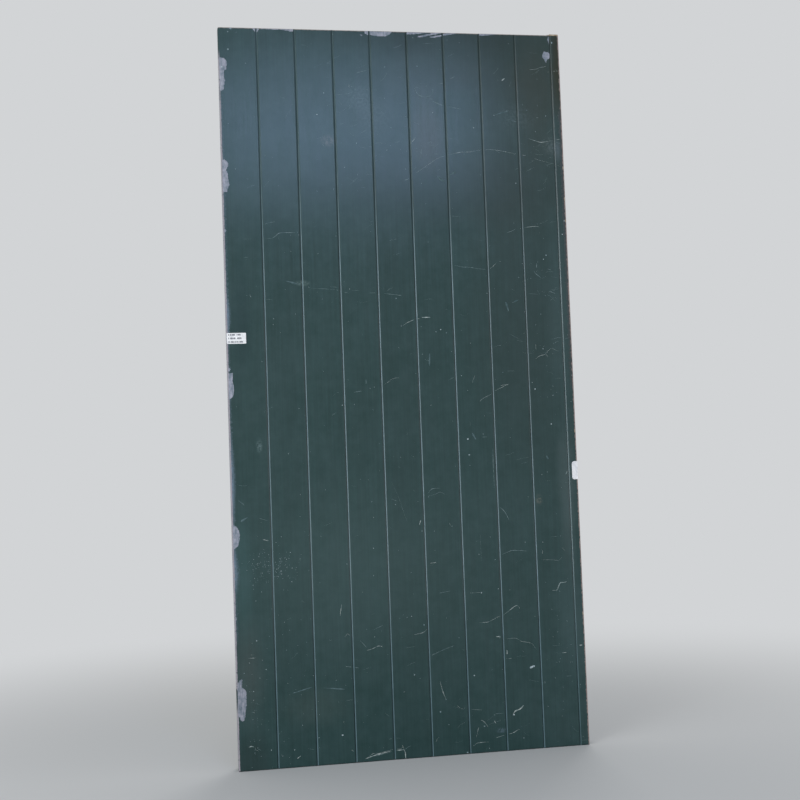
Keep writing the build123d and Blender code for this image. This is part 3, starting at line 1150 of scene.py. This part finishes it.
# Scuffs, as points (x, z) in millimetres on the face, under how far they stand out from the paint
SCUFFS: dict[int, list[Outline]] = {
    5: [
        [(106, 1658), (131, 1650)], [(369, 1594), (390, 1588), (406, 1589)], [(-323, 1363), (-317, 1358)],
        [(-410, 1360), (-390, 1360)], [(-408, 1306), (-400, 1306)],
        [(-45, 719), (-39, 700), (-29, 679), (-17, 641), (-8, 610)], [(172, 869), (172, 854)],
        [(370, 704), (390, 704)], [(292, 762), (331, 769)], [(187, 569), (187, 500)],
        [(375, 554), (400, 554)], [(-139, 235), (-117, 241)], [(269, 244), (297, 244)],
    ],
    8: [
        [(-306, 1737), (-292, 1733)], [(-100, 1805), (-73, 1812), (-65, 1817)],
        [(-157, 1745), (-125, 1748), (-114, 1752)], [(322, 1787), (318, 1775)], [(312, 1684), (337, 1677)],
        [(356, 1542), (378, 1553)], [(-410, 1312), (-400, 1312)], [(-239, 1229), (-200, 1227), (-167, 1224)],
        [(-189, 1233), (-170, 1231)], [(-88, 1215), (-65, 1215)], [(387, 1398), (409, 1407)],
        [(347, 1208), (375, 1206)], [(403, 1215), (422, 1207)], [(-195, 896), (-184, 902)],
        [(-395, 638), (-370, 629)], [(-48, 672), (-32, 666)], [(50, 676), (72, 680), (83, 685), (100, 677)],
        [(-109, 335), (-82, 346)], [(-142, 310), (-126, 292)], [(-20, 239), (0, 247)],
        [(70, 421), (100, 425)], [(372, 266), (397, 266)],
    ],
    12: [
        [(56, 1766), (62, 1752), (72, 1745), (90, 1743), (103, 1750), (107, 1766)],
        [(103, 1732), (125, 1722), (150, 1716), (182, 1711)], [(-120, 13), (-96, 17), (-70, 21)],
        [(-36, 24), (-26, 31), (-19, 33)], [(-412, 54), (-404, 50)], [(68, 1600), (66, 1575)],
        [(20, 1516), (34, 1521)], [(-47, 1213), (-20, 1210), (0, 1207)],
        [(-354, 1362), (-336, 1362), (-325, 1370), (-314, 1376), (-276, 1376)], [(-103, 988), (-103, 976)],
        [(-136, 954), (-114, 957)], [(147, 1287), (166, 1282), (187, 1281), (209, 1277), (231, 1275)],
        [(294, 1374), (309, 1379), (319, 1384)], [(364, 1270), (372, 1260), (384, 1251)],
        [(373, 1290), (373, 1278)], [(-445, 685), (-429, 672)], [(203, 826), (216, 826)],
        [(231, 794), (230, 740), (231, 691)], [(50, 682), (62, 694), (84, 695)],
        [(241, 641), (256, 626), (267, 604)], [(244, 513), (269, 522), (291, 522), (312, 519)],
        [(-182, 247), (-148, 241)], [(44, 261), (72, 272), (106, 283)], [(406, 184), (419, 184)],
        [(209, 99), (237, 99)],
    ],
    15: [
        [(156, 1793), (166, 1799)], [(126, 1780), (134, 1781)], [(294, 1702), (312, 1709)],
        [(52, 1536), (73, 1550), (100, 1569), (114, 1577), (137, 1584), (162, 1590), (175, 1593),
         (200, 1594), (237, 1600), (269, 1600), (300, 1595), (331, 1589), (356, 1585)],
        [(378, 1578), (403, 1570), (437, 1562), (450, 1556)],
        [(375, 1823), (394, 1824), (410, 1830), (426, 1833)], [(450, 1825), (462, 1812)],
        [(-60, 971), (-48, 976), (-32, 987), (-14, 990)], [(406, 1059), (422, 1051)],
        [(387, 1043), (393, 1037)], [(190, 990), (184, 977), (183, 971)],
        [(105, 602), (111, 593), (114, 597)], [(353, 494), (375, 493), (400, 491), (409, 499)],
        [(410, 523), (418, 516)], [(-425, 291), (-417, 291)], [(-182, 321), (-175, 330), (-167, 324)],
        [(153, 417), (187, 417)], [(244, 240), (259, 240)], [(106, 127), (122, 117), (128, 122)],
        [(134, 116), (175, 111)], [(47, 38), (55, 50)],
    ],
    20: [
        [(-121, 1773), (-121, 1765)], [(41, 1616), (55, 1634)], [(428, 1817), (450, 1820)],
        [(-131, 13), (-118, 21), (-104, 20), (-88, 23), (-64, 28)], [(-60, 28), (-47, 27), (-40, 31)],
        [(-421, 58), (-417, 52), (-412, 48)], [(-42, 36), (-38, 27)], [(244, 1277), (253, 1284), (262, 1293)],
        [(361, 1071), (361, 1056)], [(359, 1031), (369, 1038), (387, 1044), (397, 1054), (406, 1060)],
        [(259, 962), (281, 965)], [(200, 921), (212, 930), (233, 940), (245, 949), (269, 960), (281, 965)],
        [(355, 520), (355, 510)], [(-431, 283), (-412, 283)], [(-192, 377), (-190, 391), (-187, 406)],
        [(-192, 108), (-192, 104)], [(0, 317), (25, 322), (34, 330)],
        [(175, 338), (200, 339), (225, 350), (239, 353)],
        [(228, 296), (244, 292), (272, 292), (287, 283), (312, 277), (322, 267), (328, 258)],
        [(169, 86), (178, 80), (187, 67)], [(155, 42), (162, 67)],
    ],
    27: [
        [(365, 1632), (388, 1625), (400, 1622), (420, 1625), (440, 1629), (453, 1631)],
        [(0, 1127), (19, 1138), (34, 1143), (44, 1145)], [(331, 1384), (344, 1388), (375, 1391), (387, 1389)],
        [(-384, 582), (-370, 578)], [(50, 500), (65, 501)],
        [(-126, 284), (-107, 289), (-95, 294), (-84, 291)], [(-174, 35), (-171, 31), (-166, 30), (-164, 33)],
        [(239, 353), (250, 360), (272, 375), (281, 377), (286, 369)], [(397, 246), (409, 246)],
        [(64, 192), (70, 167), (79, 143)], [(208, 37), (231, 42), (253, 46), (272, 55)],
        [(134, 27), (148, 21), (156, 27), (187, 28)],
    ],
    45: [
        [(298, 1790), (301, 1794), (306, 1797)], [(429, 719), (433, 726)], [(25, 602), (29, 614)],
        [(-139, 9), (-125, 13), (-110, 17), (-92, 20), (-64, 25)], [(-60, 25), (-50, 24), (-38, 25)],
        [(-38, 25), (-35, 18), (-34, 2)], [(-436, 60), (-429, 62), (-423, 60)],
        [(-314, 23), (-309, 26), (-305, 29)],
        [(378, 412), (391, 412), (395, 421), (401, 431), (409, 431), (419, 433)], [(219, 299), (231, 299)],
        [(247, 262), (247, 252)], [(205, 81), (209, 74)],
    ],
    60: [
        [(52, 1148), (75, 1148)], [(256, 92), (262, 102), (275, 106), (286, 116)],
    ],
    90: [
        [(446, 263), (454, 263)],
    ],
}

# Smears of dirt, wider and dimmer: half width and points, in the same way
SMEARS: list[tuple[float, Outline]] = [
    (2.6, [(-304, 1249), (-285, 1244), (-270, 1239)]), (3.4, [(-439, 630), (-422, 640)]),
    (2.4, [(275, 1696), (294, 1702), (311, 1706)]), (2.6, [(109, 1528), (118, 1518), (131, 1512)]),
    (2.6, [(144, 1531), (159, 1540)]), (2.2, [(70, 1052), (68, 1018)]), (1.8, [(-320, 188), (-270, 200)]),
    (1.8, [(-242, 196), (-186, 189)]), (2.4, [(176, 838), (186, 820)]), (3.0, [(283, 1186), (290, 1162)]),
    (2.4, [(302, 1184), (317, 1191)]), (3.2, [(378, 770), (382, 761)]),
]

# Specks, as places (x, z) in millimetres, under how far they stand out from the paint
SPECKS: dict[int, Outline] = {
    9: [
        (-15, 1609), (-195, 1609), (-172, 1492), (-215, 1486), (-106, 1530), (-267, 1370), (-307, 1227),
        (272, 1296), (284, 1184), (289, 1163), (317, 1191), (302, 1184), (-281, 915), (-235, 583), (-96, 626),
        (-75, 747), (-18, 780), (167, 752), (280, 822), (64, 583), (-375, 335), (-281, 315), (-420, 177),
        (327, 346),
    ],
    12: [
        (-426, 1544), (-147, 1615), (-140, 1550), (-25, 1597), (106, 1762), (364, 1710), (386, 1651),
        (-245, 1232), (-138, 1226), (-397, 1209), (-373, 1040), (-93, 963), (-82, 966), (-337, 587),
        (-99, 667), (-170, 509), (169, 951), (403, 932), (378, 727), (23, 662), (214, 561), (309, 543),
        (-412, 457), (-407, 427), (-336, 369), (-32, 172), (-37, 362), (-26, 370),
    ],
    17: [
        (-23, 1822), (-12, 1658), (272, 1695), (353, 1725), (103, 1700), (-4, 1126), (322, 1252), (379, 1152),
        (267, 997), (153, 991), (347, 968), (206, 834), (380, 765), (31, 585), (357, 541), (-392, 449),
        (-298, 105), (-17, 363), (119, 302), (-420, 52), (-413, 57), (-421, 45), (-436, 1908),
    ],
    22: [
        (-189, 1749), (417, 1695), (325, 1509), (117, 1106), (-168, 921), (-136, 922), (-37, 657), (-99, 546),
        (-314, 471), (-386, 252), (-442, 246), (-420, 199), (-257, 71), (-5, 365), (-379, 49), (-320, 45),
        (230, 424), (440, 170), (434, 153), (83, 80), (78, 145),
    ],
    29: [
        (-209, 1691), (-106, 1615), (65, 1826), (341, 1685), (214, 1660), (434, 1600), (-15, 1200),
        (89, 1109), (393, 1301), (456, 1406), (449, 1369), (381, 1058), (225, 501), (-408, 326), (-3, 214),
        (37, 167), (283, 31), (189, 11),
    ],
    42: [
        (102, 1115), (401, 1312), (395, 855), (166, 780), (-162, 115), (259, 93), (27, 341), (184, 416),
        (156, 202), (130, 5),
    ],
    58: [
        (-437, 1861), (-454, 1814), (442, 1159), (354, 950), (62, 114), (178, 69), (-428, 1916), (442, 1906),
        (443, 1899),
    ],
    80: [
        (164, 822), (-196, 73),
    ],
    110: [
        (310, 213), (314, 214.5), (318, 216),
    ],
}


@dataclass
class FaceMarks:
    """Scuffs and specks that lie on the paint, up to 0.3 mm thick."""

    flatness: float = 0.09  # a scuff's thickness beside its width
    step: float = 4.0  # millimetres between a stroke's points
    seed: int = 23
    wobble: tuple[float, float] = (0.3, 1.3)  # shares between which a stroke's width wavers
    stray_scuffs: int = 80
    stray_scuff_reach: tuple[float, float, float, float] = (-450, 450, 10, 1905)  # left, right, foot and top
    stray_length: tuple[float, float] = (8, 34)  # millimetres
    stray_turn: tuple[float, float] = (0.1, 0.45)  # its mean slope and how far that spreads, in radians
    stray_bow: float = 0.12  # how far its middle is out of line, beside its length
    stray_strength: tuple[float, float] = (3, 7.5)
    stray_specks: int = 240
    stray_speck_reach: tuple[float, float, float, float] = (-455, 455, 8, 1910)
    stray_speck_strength: tuple[float, float] = (1, 9)
    spatter_strength: tuple[float, float] = (2, 11)
    spatter_foot: float = 6.0  # millimetres: none lies lower
    speck_width: tuple[float, float] = (0.7, 1.3)  # shares of its radius between which its width varies
    speck_flatness: float = 0.15  # its thickness beside its radius
    speck_thickness: float = 0.25  # millimetres at most
    spatter: tuple[tuple[float, float, float, float, int], ...] = (
        (-362, 508, 36, 25, 170), (-420, 120, 28, 70, 30), (-330, 230, 70, 90, 40), (400, 250, 45, 150, 40),
        (390, 1150, 45, 160, 30),
    )  # where small specks crowd: x, z, spread across, spread up, and how many
    flurries: tuple[tuple[float, float, float, float, int], ...] = (
        (-120, 1710, 55, 70, 34), (-110, 1540, 50, 45, 10), (70, 1680, 45, 80, 28), (395, 1610, 40, 50, 18),
        (385, 1050, 35, 40, 12), (390, 1250, 40, 80, 12), (150, 60, 70, 30, 12), (-60, 1215, 90, 12, 8),
    )  # where faint scuffs crowd, in the same way
    colours: dict[Mark, tuple[str, str]] = field(default_factory=lambda: {
        Mark.CHALK: ("#c8d0ce", "#7f9190"),
        Mark.FAINT: ("#90a3a5", "#5c7276"),
        Mark.SMEAR: ("#5f767b", "#465d60"),
    })  # where it is whole, and where it has faded

    def build(self) -> None:
        """Build every mark."""
        chance = random.Random(self.seed)
        strokes = [Stroke.seen(strength, points) for strength, paths in SCUFFS.items() for points in paths]
        strokes += [Stroke(Mark.SMEAR, half_width, points) for half_width, points in SMEARS]
        left, right, foot, top = self.stray_scuff_reach
        strokes += [self.stray(chance, chance.uniform(left, right), chance.uniform(foot, top))
                    for _ in range(self.stray_scuffs)]
        strokes += [self.stray(chance, chance.gauss(x, across), chance.gauss(z, up))
                    for x, z, across, up, count in self.flurries for _ in range(count)]
        for mark in Mark:
            self.build_scuffs(mark, [s for s in strokes if s.mark is mark], chance)
        self.build_specks(chance)

    def stray(self, chance: random.Random, x: float, z: float) -> Stroke:
        """Make a small scuff, mostly level.

        Args:
            chance: Seeded source of its length, turn, bow and strength.
            x: Where it starts, in millimetres on the face.
            z: Its height there.

        Returns:
            The scuff.
        """
        length, turn = chance.uniform(*self.stray_length), chance.gauss(*self.stray_turn)
        bow = chance.uniform(-self.stray_bow, self.stray_bow) * length
        across, up = math.cos(turn) * length, math.sin(turn) * length
        middle = (x + across / 2 - math.sin(turn) * bow, z + up / 2 + math.cos(turn) * bow)
        return Stroke.seen(chance.uniform(*self.stray_strength), [(x, z), middle, (x + across, z + up)])

    def smoothed(self, points: Sequence[Vector]) -> list[Vector]:
        """Draw a smooth curve through some points.

        Args:
            points: The points, in millimetres.

        Returns:
            Points along the curve, about one step apart.
        """
        path = []
        for i, (a, b) in enumerate(zip(points, points[1:])):
            before = points[max(i - 1, 0)]
            after = points[min(i + 2, len(points) - 1)]
            count = max(2, round((b - a).length / self.step))
            for j in range(count):
                t = j / count
                path.append(0.5 * ((2 * a) + (b - before) * t + (2 * before - 5 * a + 4 * b - after) * t ** 2
                                   + (3 * a - before - 3 * b + after) * t ** 3))
        return [*path, points[-1]]

    def runs(self, stroke: Stroke) -> Iterable[list[tuple[float, float]]]:
        """Find the stretches of a stroke that lie on the boards' flats, clear of the V joints.

        Args:
            stroke: The scuff.

        Returns:
            Lists of points (x, z) in metres.
        """
        clear = V_HALF_WIDTH + stroke.half_width * MM
        run: list[tuple[float, float]] = []
        for point in self.smoothed([Vector(p) for p in stroke.points]):
            x, z = point.x * MM, point.y * MM
            on_board = LEFT + LEFT_ARRIS < x < RIGHT - clear and 0 < z < HEAD - 2 * THIN_ARRIS
            if on_board and not any(abs(x - joint) < clear for joint in JOINTS):
                run.append((x, z))
                continue
            if len(run) > 1:
                yield run
            run = []
        if len(run) > 1:
            yield run

    def build_scuffs(self, mark: Mark, strokes: Sequence[Stroke], chance: random.Random) -> None:
        """Build all the scuffs of one kind as one piece.

        Args:
            mark: What they are made of.
            strokes: The scuffs.
            chance: Seeded source of how their width wavers.
        """
        drawn = bpy.data.curves.new(mark.value, "CURVE")
        drawn.dimensions = "3D"
        drawn.bevel_depth = 1 * MM
        drawn.bevel_resolution = 1
        drawn.use_fill_caps = True
        drawn.resolution_u = 3
        for stroke in strokes:
            for run in self.runs(stroke):
                spline = drawn.splines.new("NURBS")
                spline.points.add(len(run) - 1)
                for i, (x, z) in enumerate(run):
                    # A scuff is widest in its middle and nearly pointed at its ends
                    taper = math.sin(math.pi * (i + 0.35) / (len(run) - 0.3)) ** 0.6
                    spline.points[i].co = (x, FACE, z, 1.0)
                    spline.points[i].radius = stroke.half_width * taper * chance.uniform(*self.wobble)
                spline.order_u = 3
                spline.use_endpoint_u = True
        obj = bpy.data.objects.new(mark.value, drawn)
        bpy.context.scene.collection.objects.link(obj)
        pick_up(obj)
        bpy.ops.object.convert(target="MESH")
        obj = bpy.context.object
        in_edit_mode(obj, partial(bpy.ops.transform.resize, value=(1.0, self.flatness, 1.0),
                                  center_override=(0.0, FACE, 0.0)))
        chalk = Chalk(mark.value, *self.colours[mark]).material()
        finish_piece(obj, mark.value + "s", "board_paint", chalk)

    def speck_places(self, chance: random.Random) -> list[tuple[float, float, float]]:
        """Gather the specks: those read one by one, some anywhere, and the spatters.

        Args:
            chance: Seeded source of those that weren't read.

        Returns:
            X, Z and radius of each, in millimetres on the face.
        """
        places = [(x, z, self.speck_radius(strength)) for strength, spots in SPECKS.items() for x, z in spots]
        left, right, foot, top = self.stray_speck_reach
        for _ in range(self.stray_specks):
            radius = self.speck_radius(chance.uniform(*self.stray_speck_strength))
            places.append((chance.uniform(left, right), chance.uniform(foot, top), radius))
        for x, z, across, up, count in self.spatter:
            for _ in range(count):
                x_at, z_at = chance.gauss(x, across), max(self.spatter_foot, chance.gauss(z, up))
                if LEFT + LEFT_ARRIS < x_at * MM < RIGHT - LEFT_ARRIS:
                    places.append((x_at, z_at, self.speck_radius(chance.uniform(*self.spatter_strength))))
        return places

    def build_specks(self, chance: random.Random) -> None:
        """Build the specks: low domes of splashed lime and paint, clear of the V joints.

        Args:
            chance: Seeded source of their places and shapes.
        """
        places = self.speck_places(chance)
        bpy.ops.object.select_all(action="DESELECT")
        bpy.ops.mesh.primitive_ico_sphere_add(subdivisions=1, radius=1 * MM)
        pattern = bpy.context.object
        copies = []
        for x, z, radius in places:
            clear = V_HALF_WIDTH + radius * MM
            if any(abs(x * MM - joint) < clear for joint in JOINTS):
                continue
            mesh = pattern.data.copy()
            thick = min(radius * self.speck_flatness, self.speck_thickness)
            squeeze = Matrix.Diagonal((radius * chance.uniform(*self.speck_width), thick, radius, 1.0))
            turned = Matrix.Rotation(chance.uniform(0, math.pi), 4, "Y")
            mesh.transform(Matrix.Translation((x * MM, FACE, z * MM)) @ turned @ squeeze)
            copy = bpy.data.objects.new("speck_copy", mesh)
            bpy.context.scene.collection.objects.link(copy)
            copies.append(copy)
        bpy.data.objects.remove(pattern)
        lime = Chalk("splashed_lime", "#c4d2d7", "#768d94").material()
        finish_piece(joined(copies), "lime_specks", "board_paint", lime)

    def speck_radius(self, strength: float) -> float:
        """Millimetres of radius with which a speck stands out so far from the paint, in steps of 255."""
        return 0.17 * strength ** 0.62


@dataclass(frozen=True)
class Label:
    """One stuck-on label, in millimetres on the face."""

    name: str
    foot: tuple[float, float]  # its lower left corner
    size: tuple[float, float]  # width and height
    corners: tuple[float, float, float, float]  # their radii, from the upper right one anticlockwise
    rows: int  # rows of print


@dataclass
class Labels:
    """The stuck-on label at the left edge and what is left of another at the right edge."""

    thickness: float = 0.25 * MM
    bedded: float = 0.02 * MM  # how far its back lies in the paint
    corner_steps: int = 4
    labels: tuple[Label, ...] = (
        Label("printed_label", (-461.5, 1087.3), (49.5, 28.0), (1.5, 1.5, 1.5, 1.5), rows=3),
        Label("torn_label", (447.0, 704.5), (15.3, 48.5), (0.5, 7.0, 5.0, 0.5), rows=0),
    )

    def build(self) -> None:
        """Build both labels."""
        for label in self.labels:
            (x, z), (width, height) = label.foot, label.size
            obj = slab(self.outline(label), FACE - self.thickness, FACE + self.bedded)
            paper = LabelPaper("label_paper_" + label.name, foot=z * MM, left=x * MM, width=width * MM,
                               height=height * MM, rows=label.rows).material()
            finish_piece(obj, label.name, "label_paper", paper)

    def outline(self, label: Label) -> Outline:
        """Draw a label's outline with its rounded corners.

        Args:
            label: The label.

        Returns:
            Points (x, z) in metres.
        """
        (x, z), (width, height) = label.foot, label.size
        points = []
        for number, corner in enumerate(label.corners):
            cx = x + (corner if number in (1, 2) else width - corner)
            cz = z + (corner if number > 1 else height - corner)
            for i in range(self.corner_steps + 1):
                a = math.radians(90 * (number + i / self.corner_steps))
                points.append(((cx + corner * math.cos(a)) * MM, (cz + corner * math.sin(a)) * MM))
        return points


# The stage


@dataclass(frozen=True)
class SoftBox:
    """One soft lamp of the studio."""

    name: str
    place: Place
    aim: Place  # what it faces
    size: tuple[float, float]
    watts: float
    colour: Place  # red, green and blue in linear light


@dataclass
class Stage:
    """Pale floor, pale surroundings, soft studio lamps and the camera of the photograph."""

    floor_colour: str = "#c9cbcc"
    background: str = "#d2d4d6"
    fill: float = 0.5
    floor_radius: float = 14.0
    floor_rim: float = 5.0
    floor_fade: tuple[float, float] = (0.8, 2.8)  # from here to there the floor fades into the background
    camera_place: Place = (-0.55136, -3.14263, 0.75721)
    camera_right: Place = (0.98522, -0.16734, -0.03672)
    camera_ahead: Place = (0.16918, 0.98407, 0.05463)
    lens: float = 54.247  # millimetres
    sensor: float = 36.0  # millimetres
    # A cool high box whose sheen lies on the upper boards, low cards at both sides that light the flanks of
    # the V joints, a broad key from the left and a lamp for the back
    lamps: tuple[SoftBox, ...] = (
        SoftBox("high_soft_box", (0.385, -4.0, 2.8), (-0.1, FACE, 1.6), (1.67, 0.75), 21, (0.44, 0.64, 1.0)),
        SoftBox("low_left_card", (-2.5, -2.0, 0.95), (-0.1, FACE, 0.8), (1.5, 1.9), 28, (0.94, 0.99, 1.0)),
        SoftBox("low_right_card", (2.6, -0.9, 0.8), (0.2, FACE, 0.8), (1.1, 1.6), 6, (1.0, 0.99, 0.97)),
        SoftBox("key", (-2.9, -3.6, 2.6), (0.0, FACE, 0.9), (1.6, 1.6), 30, (1.0, 0.99, 0.98)),
        SoftBox("back", (1.6, 3.6, 2.4), (0.0, BACK, 0.9), (2.4, 2.0), 60, (1.0, 0.99, 0.98)),
    )

    def build(self) -> None:
        """Set the whole stage."""
        bpy.context.scene.view_settings.view_transform = "Standard"
        self.build_world()
        self.build_floor()
        for lamp in self.lamps:
            self.build_lamp(lamp)
        self.build_camera()

    def build_world(self) -> None:
        """Make pale surroundings for the eye and for reflections, and a weaker fill for light."""
        world = bpy.data.worlds.new("studio")
        bpy.context.scene.world = world
        world.use_nodes = True
        world.node_tree.nodes.clear()
        add = partial(add_node, world.node_tree)
        seen = self.seen_directly(add)
        shown = add("Background", {0: linear(self.background), 1: 1.0}).outputs[0]
        light = add("Background", {0: (1.0, 1.0, 1.0, 1.0), 1: self.fill}).outputs[0]
        both = add("MixShader", {0: seen, 1: light, 2: shown}).outputs[0]
        add("OutputWorld", {0: both})

    def seen_directly(self, add: AddNode) -> Socket:
        """Tell what the eye sees from what lights the leaf.

        Args:
            add: Adds a node to the material or the world.

        Returns:
            1 for a ray from the camera, or one that a gloss or a glass sends on, and 0 for light.
        """
        path = add("LightPath").outputs
        seen = path["Is Camera Ray"]
        for kind in ("Is Glossy Ray", "Is Transmission Ray"):
            seen = add("Math", {0: seen, 1: path[kind]}, operation="MAXIMUM").outputs[0]
        return seen

    def build_floor(self) -> None:
        """Make a round floor that fades into the background away from the leaf."""
        bpy.ops.object.select_all(action="DESELECT")
        bpy.ops.mesh.primitive_circle_add(vertices=96, radius=self.floor_radius, fill_type="NGON")
        floor = bpy.context.object
        floor.name = "studio_floor"
        in_edit_mode(floor, partial(bpy.ops.mesh.inset, thickness=self.floor_rim))
        material, add, place = start_material("smooth_pale_floor")
        near, far = self.floor_fade
        away = add("VectorMath", {0: place}, operation="LENGTH").outputs["Value"]
        fade = add("MapRange", {0: away, 1: near, 2: far}, interpolation_type="SMOOTHSTEP").outputs[0]
        fade = add("Math", {0: fade, 1: self.seen_directly(add)}, operation="MULTIPLY").outputs[0]
        matt = add("BsdfDiffuse", {0: linear(self.floor_colour)}).outputs[0]
        glow = add("Emission", {0: linear(self.background), 1: 1.0}).outputs[0]
        add("OutputMaterial", {0: add("MixShader", {0: fade, 1: matt, 2: glow}).outputs[0]})
        floor.data.materials.append(material)

    def build_lamp(self, box: SoftBox) -> None:
        """Hang one soft box, unseen by the camera.

        Args:
            box: The lamp.
        """
        data = bpy.data.lights.new(box.name, "AREA")
        data.shape = "RECTANGLE"
        data.size, data.size_y = box.size
        data.energy = box.watts
        data.color = box.colour
        lamp = bpy.data.objects.new(box.name, data)
        lamp.location = box.place
        lamp.rotation_mode = "QUATERNION"
        lamp.rotation_quaternion = (Vector(box.aim) - Vector(box.place)).to_track_quat("-Z", "Y")
        lamp.visible_camera = False
        bpy.context.scene.collection.objects.link(lamp)

    def build_camera(self) -> None:
        """Stand the camera where the photograph was taken from."""
        data = bpy.data.cameras.new("camera")
        data.lens = self.lens
        data.sensor_width = self.sensor
        data.clip_start, data.clip_end = 0.05, 100.0
        camera = bpy.data.objects.new("camera", data)
        ahead = Vector(self.camera_ahead).normalized()
        right = Vector(self.camera_right)
        right = (right - ahead * right.dot(ahead)).normalized()
        up = right.cross(ahead)
        turn = Matrix((right, up, -ahead)).transposed().to_4x4()
        camera.matrix_world = Matrix.Translation(self.camera_place) @ turn
        bpy.context.scene.collection.objects.link(camera)
        bpy.context.scene.camera = camera


def main() -> None:
    """Build the leaf and the stage round it."""
    logging.basicConfig(level=logging.INFO, format="%(name)s %(message)s")
    Stage().build()
    BoardedFace().build()
    BackFrame().build()
    Screws().build()
    FaceMarks().build()
    Labels().build()
    bpy.ops.object.select_all(action="DESELECT")


if __name__ == "__main__":
    main()
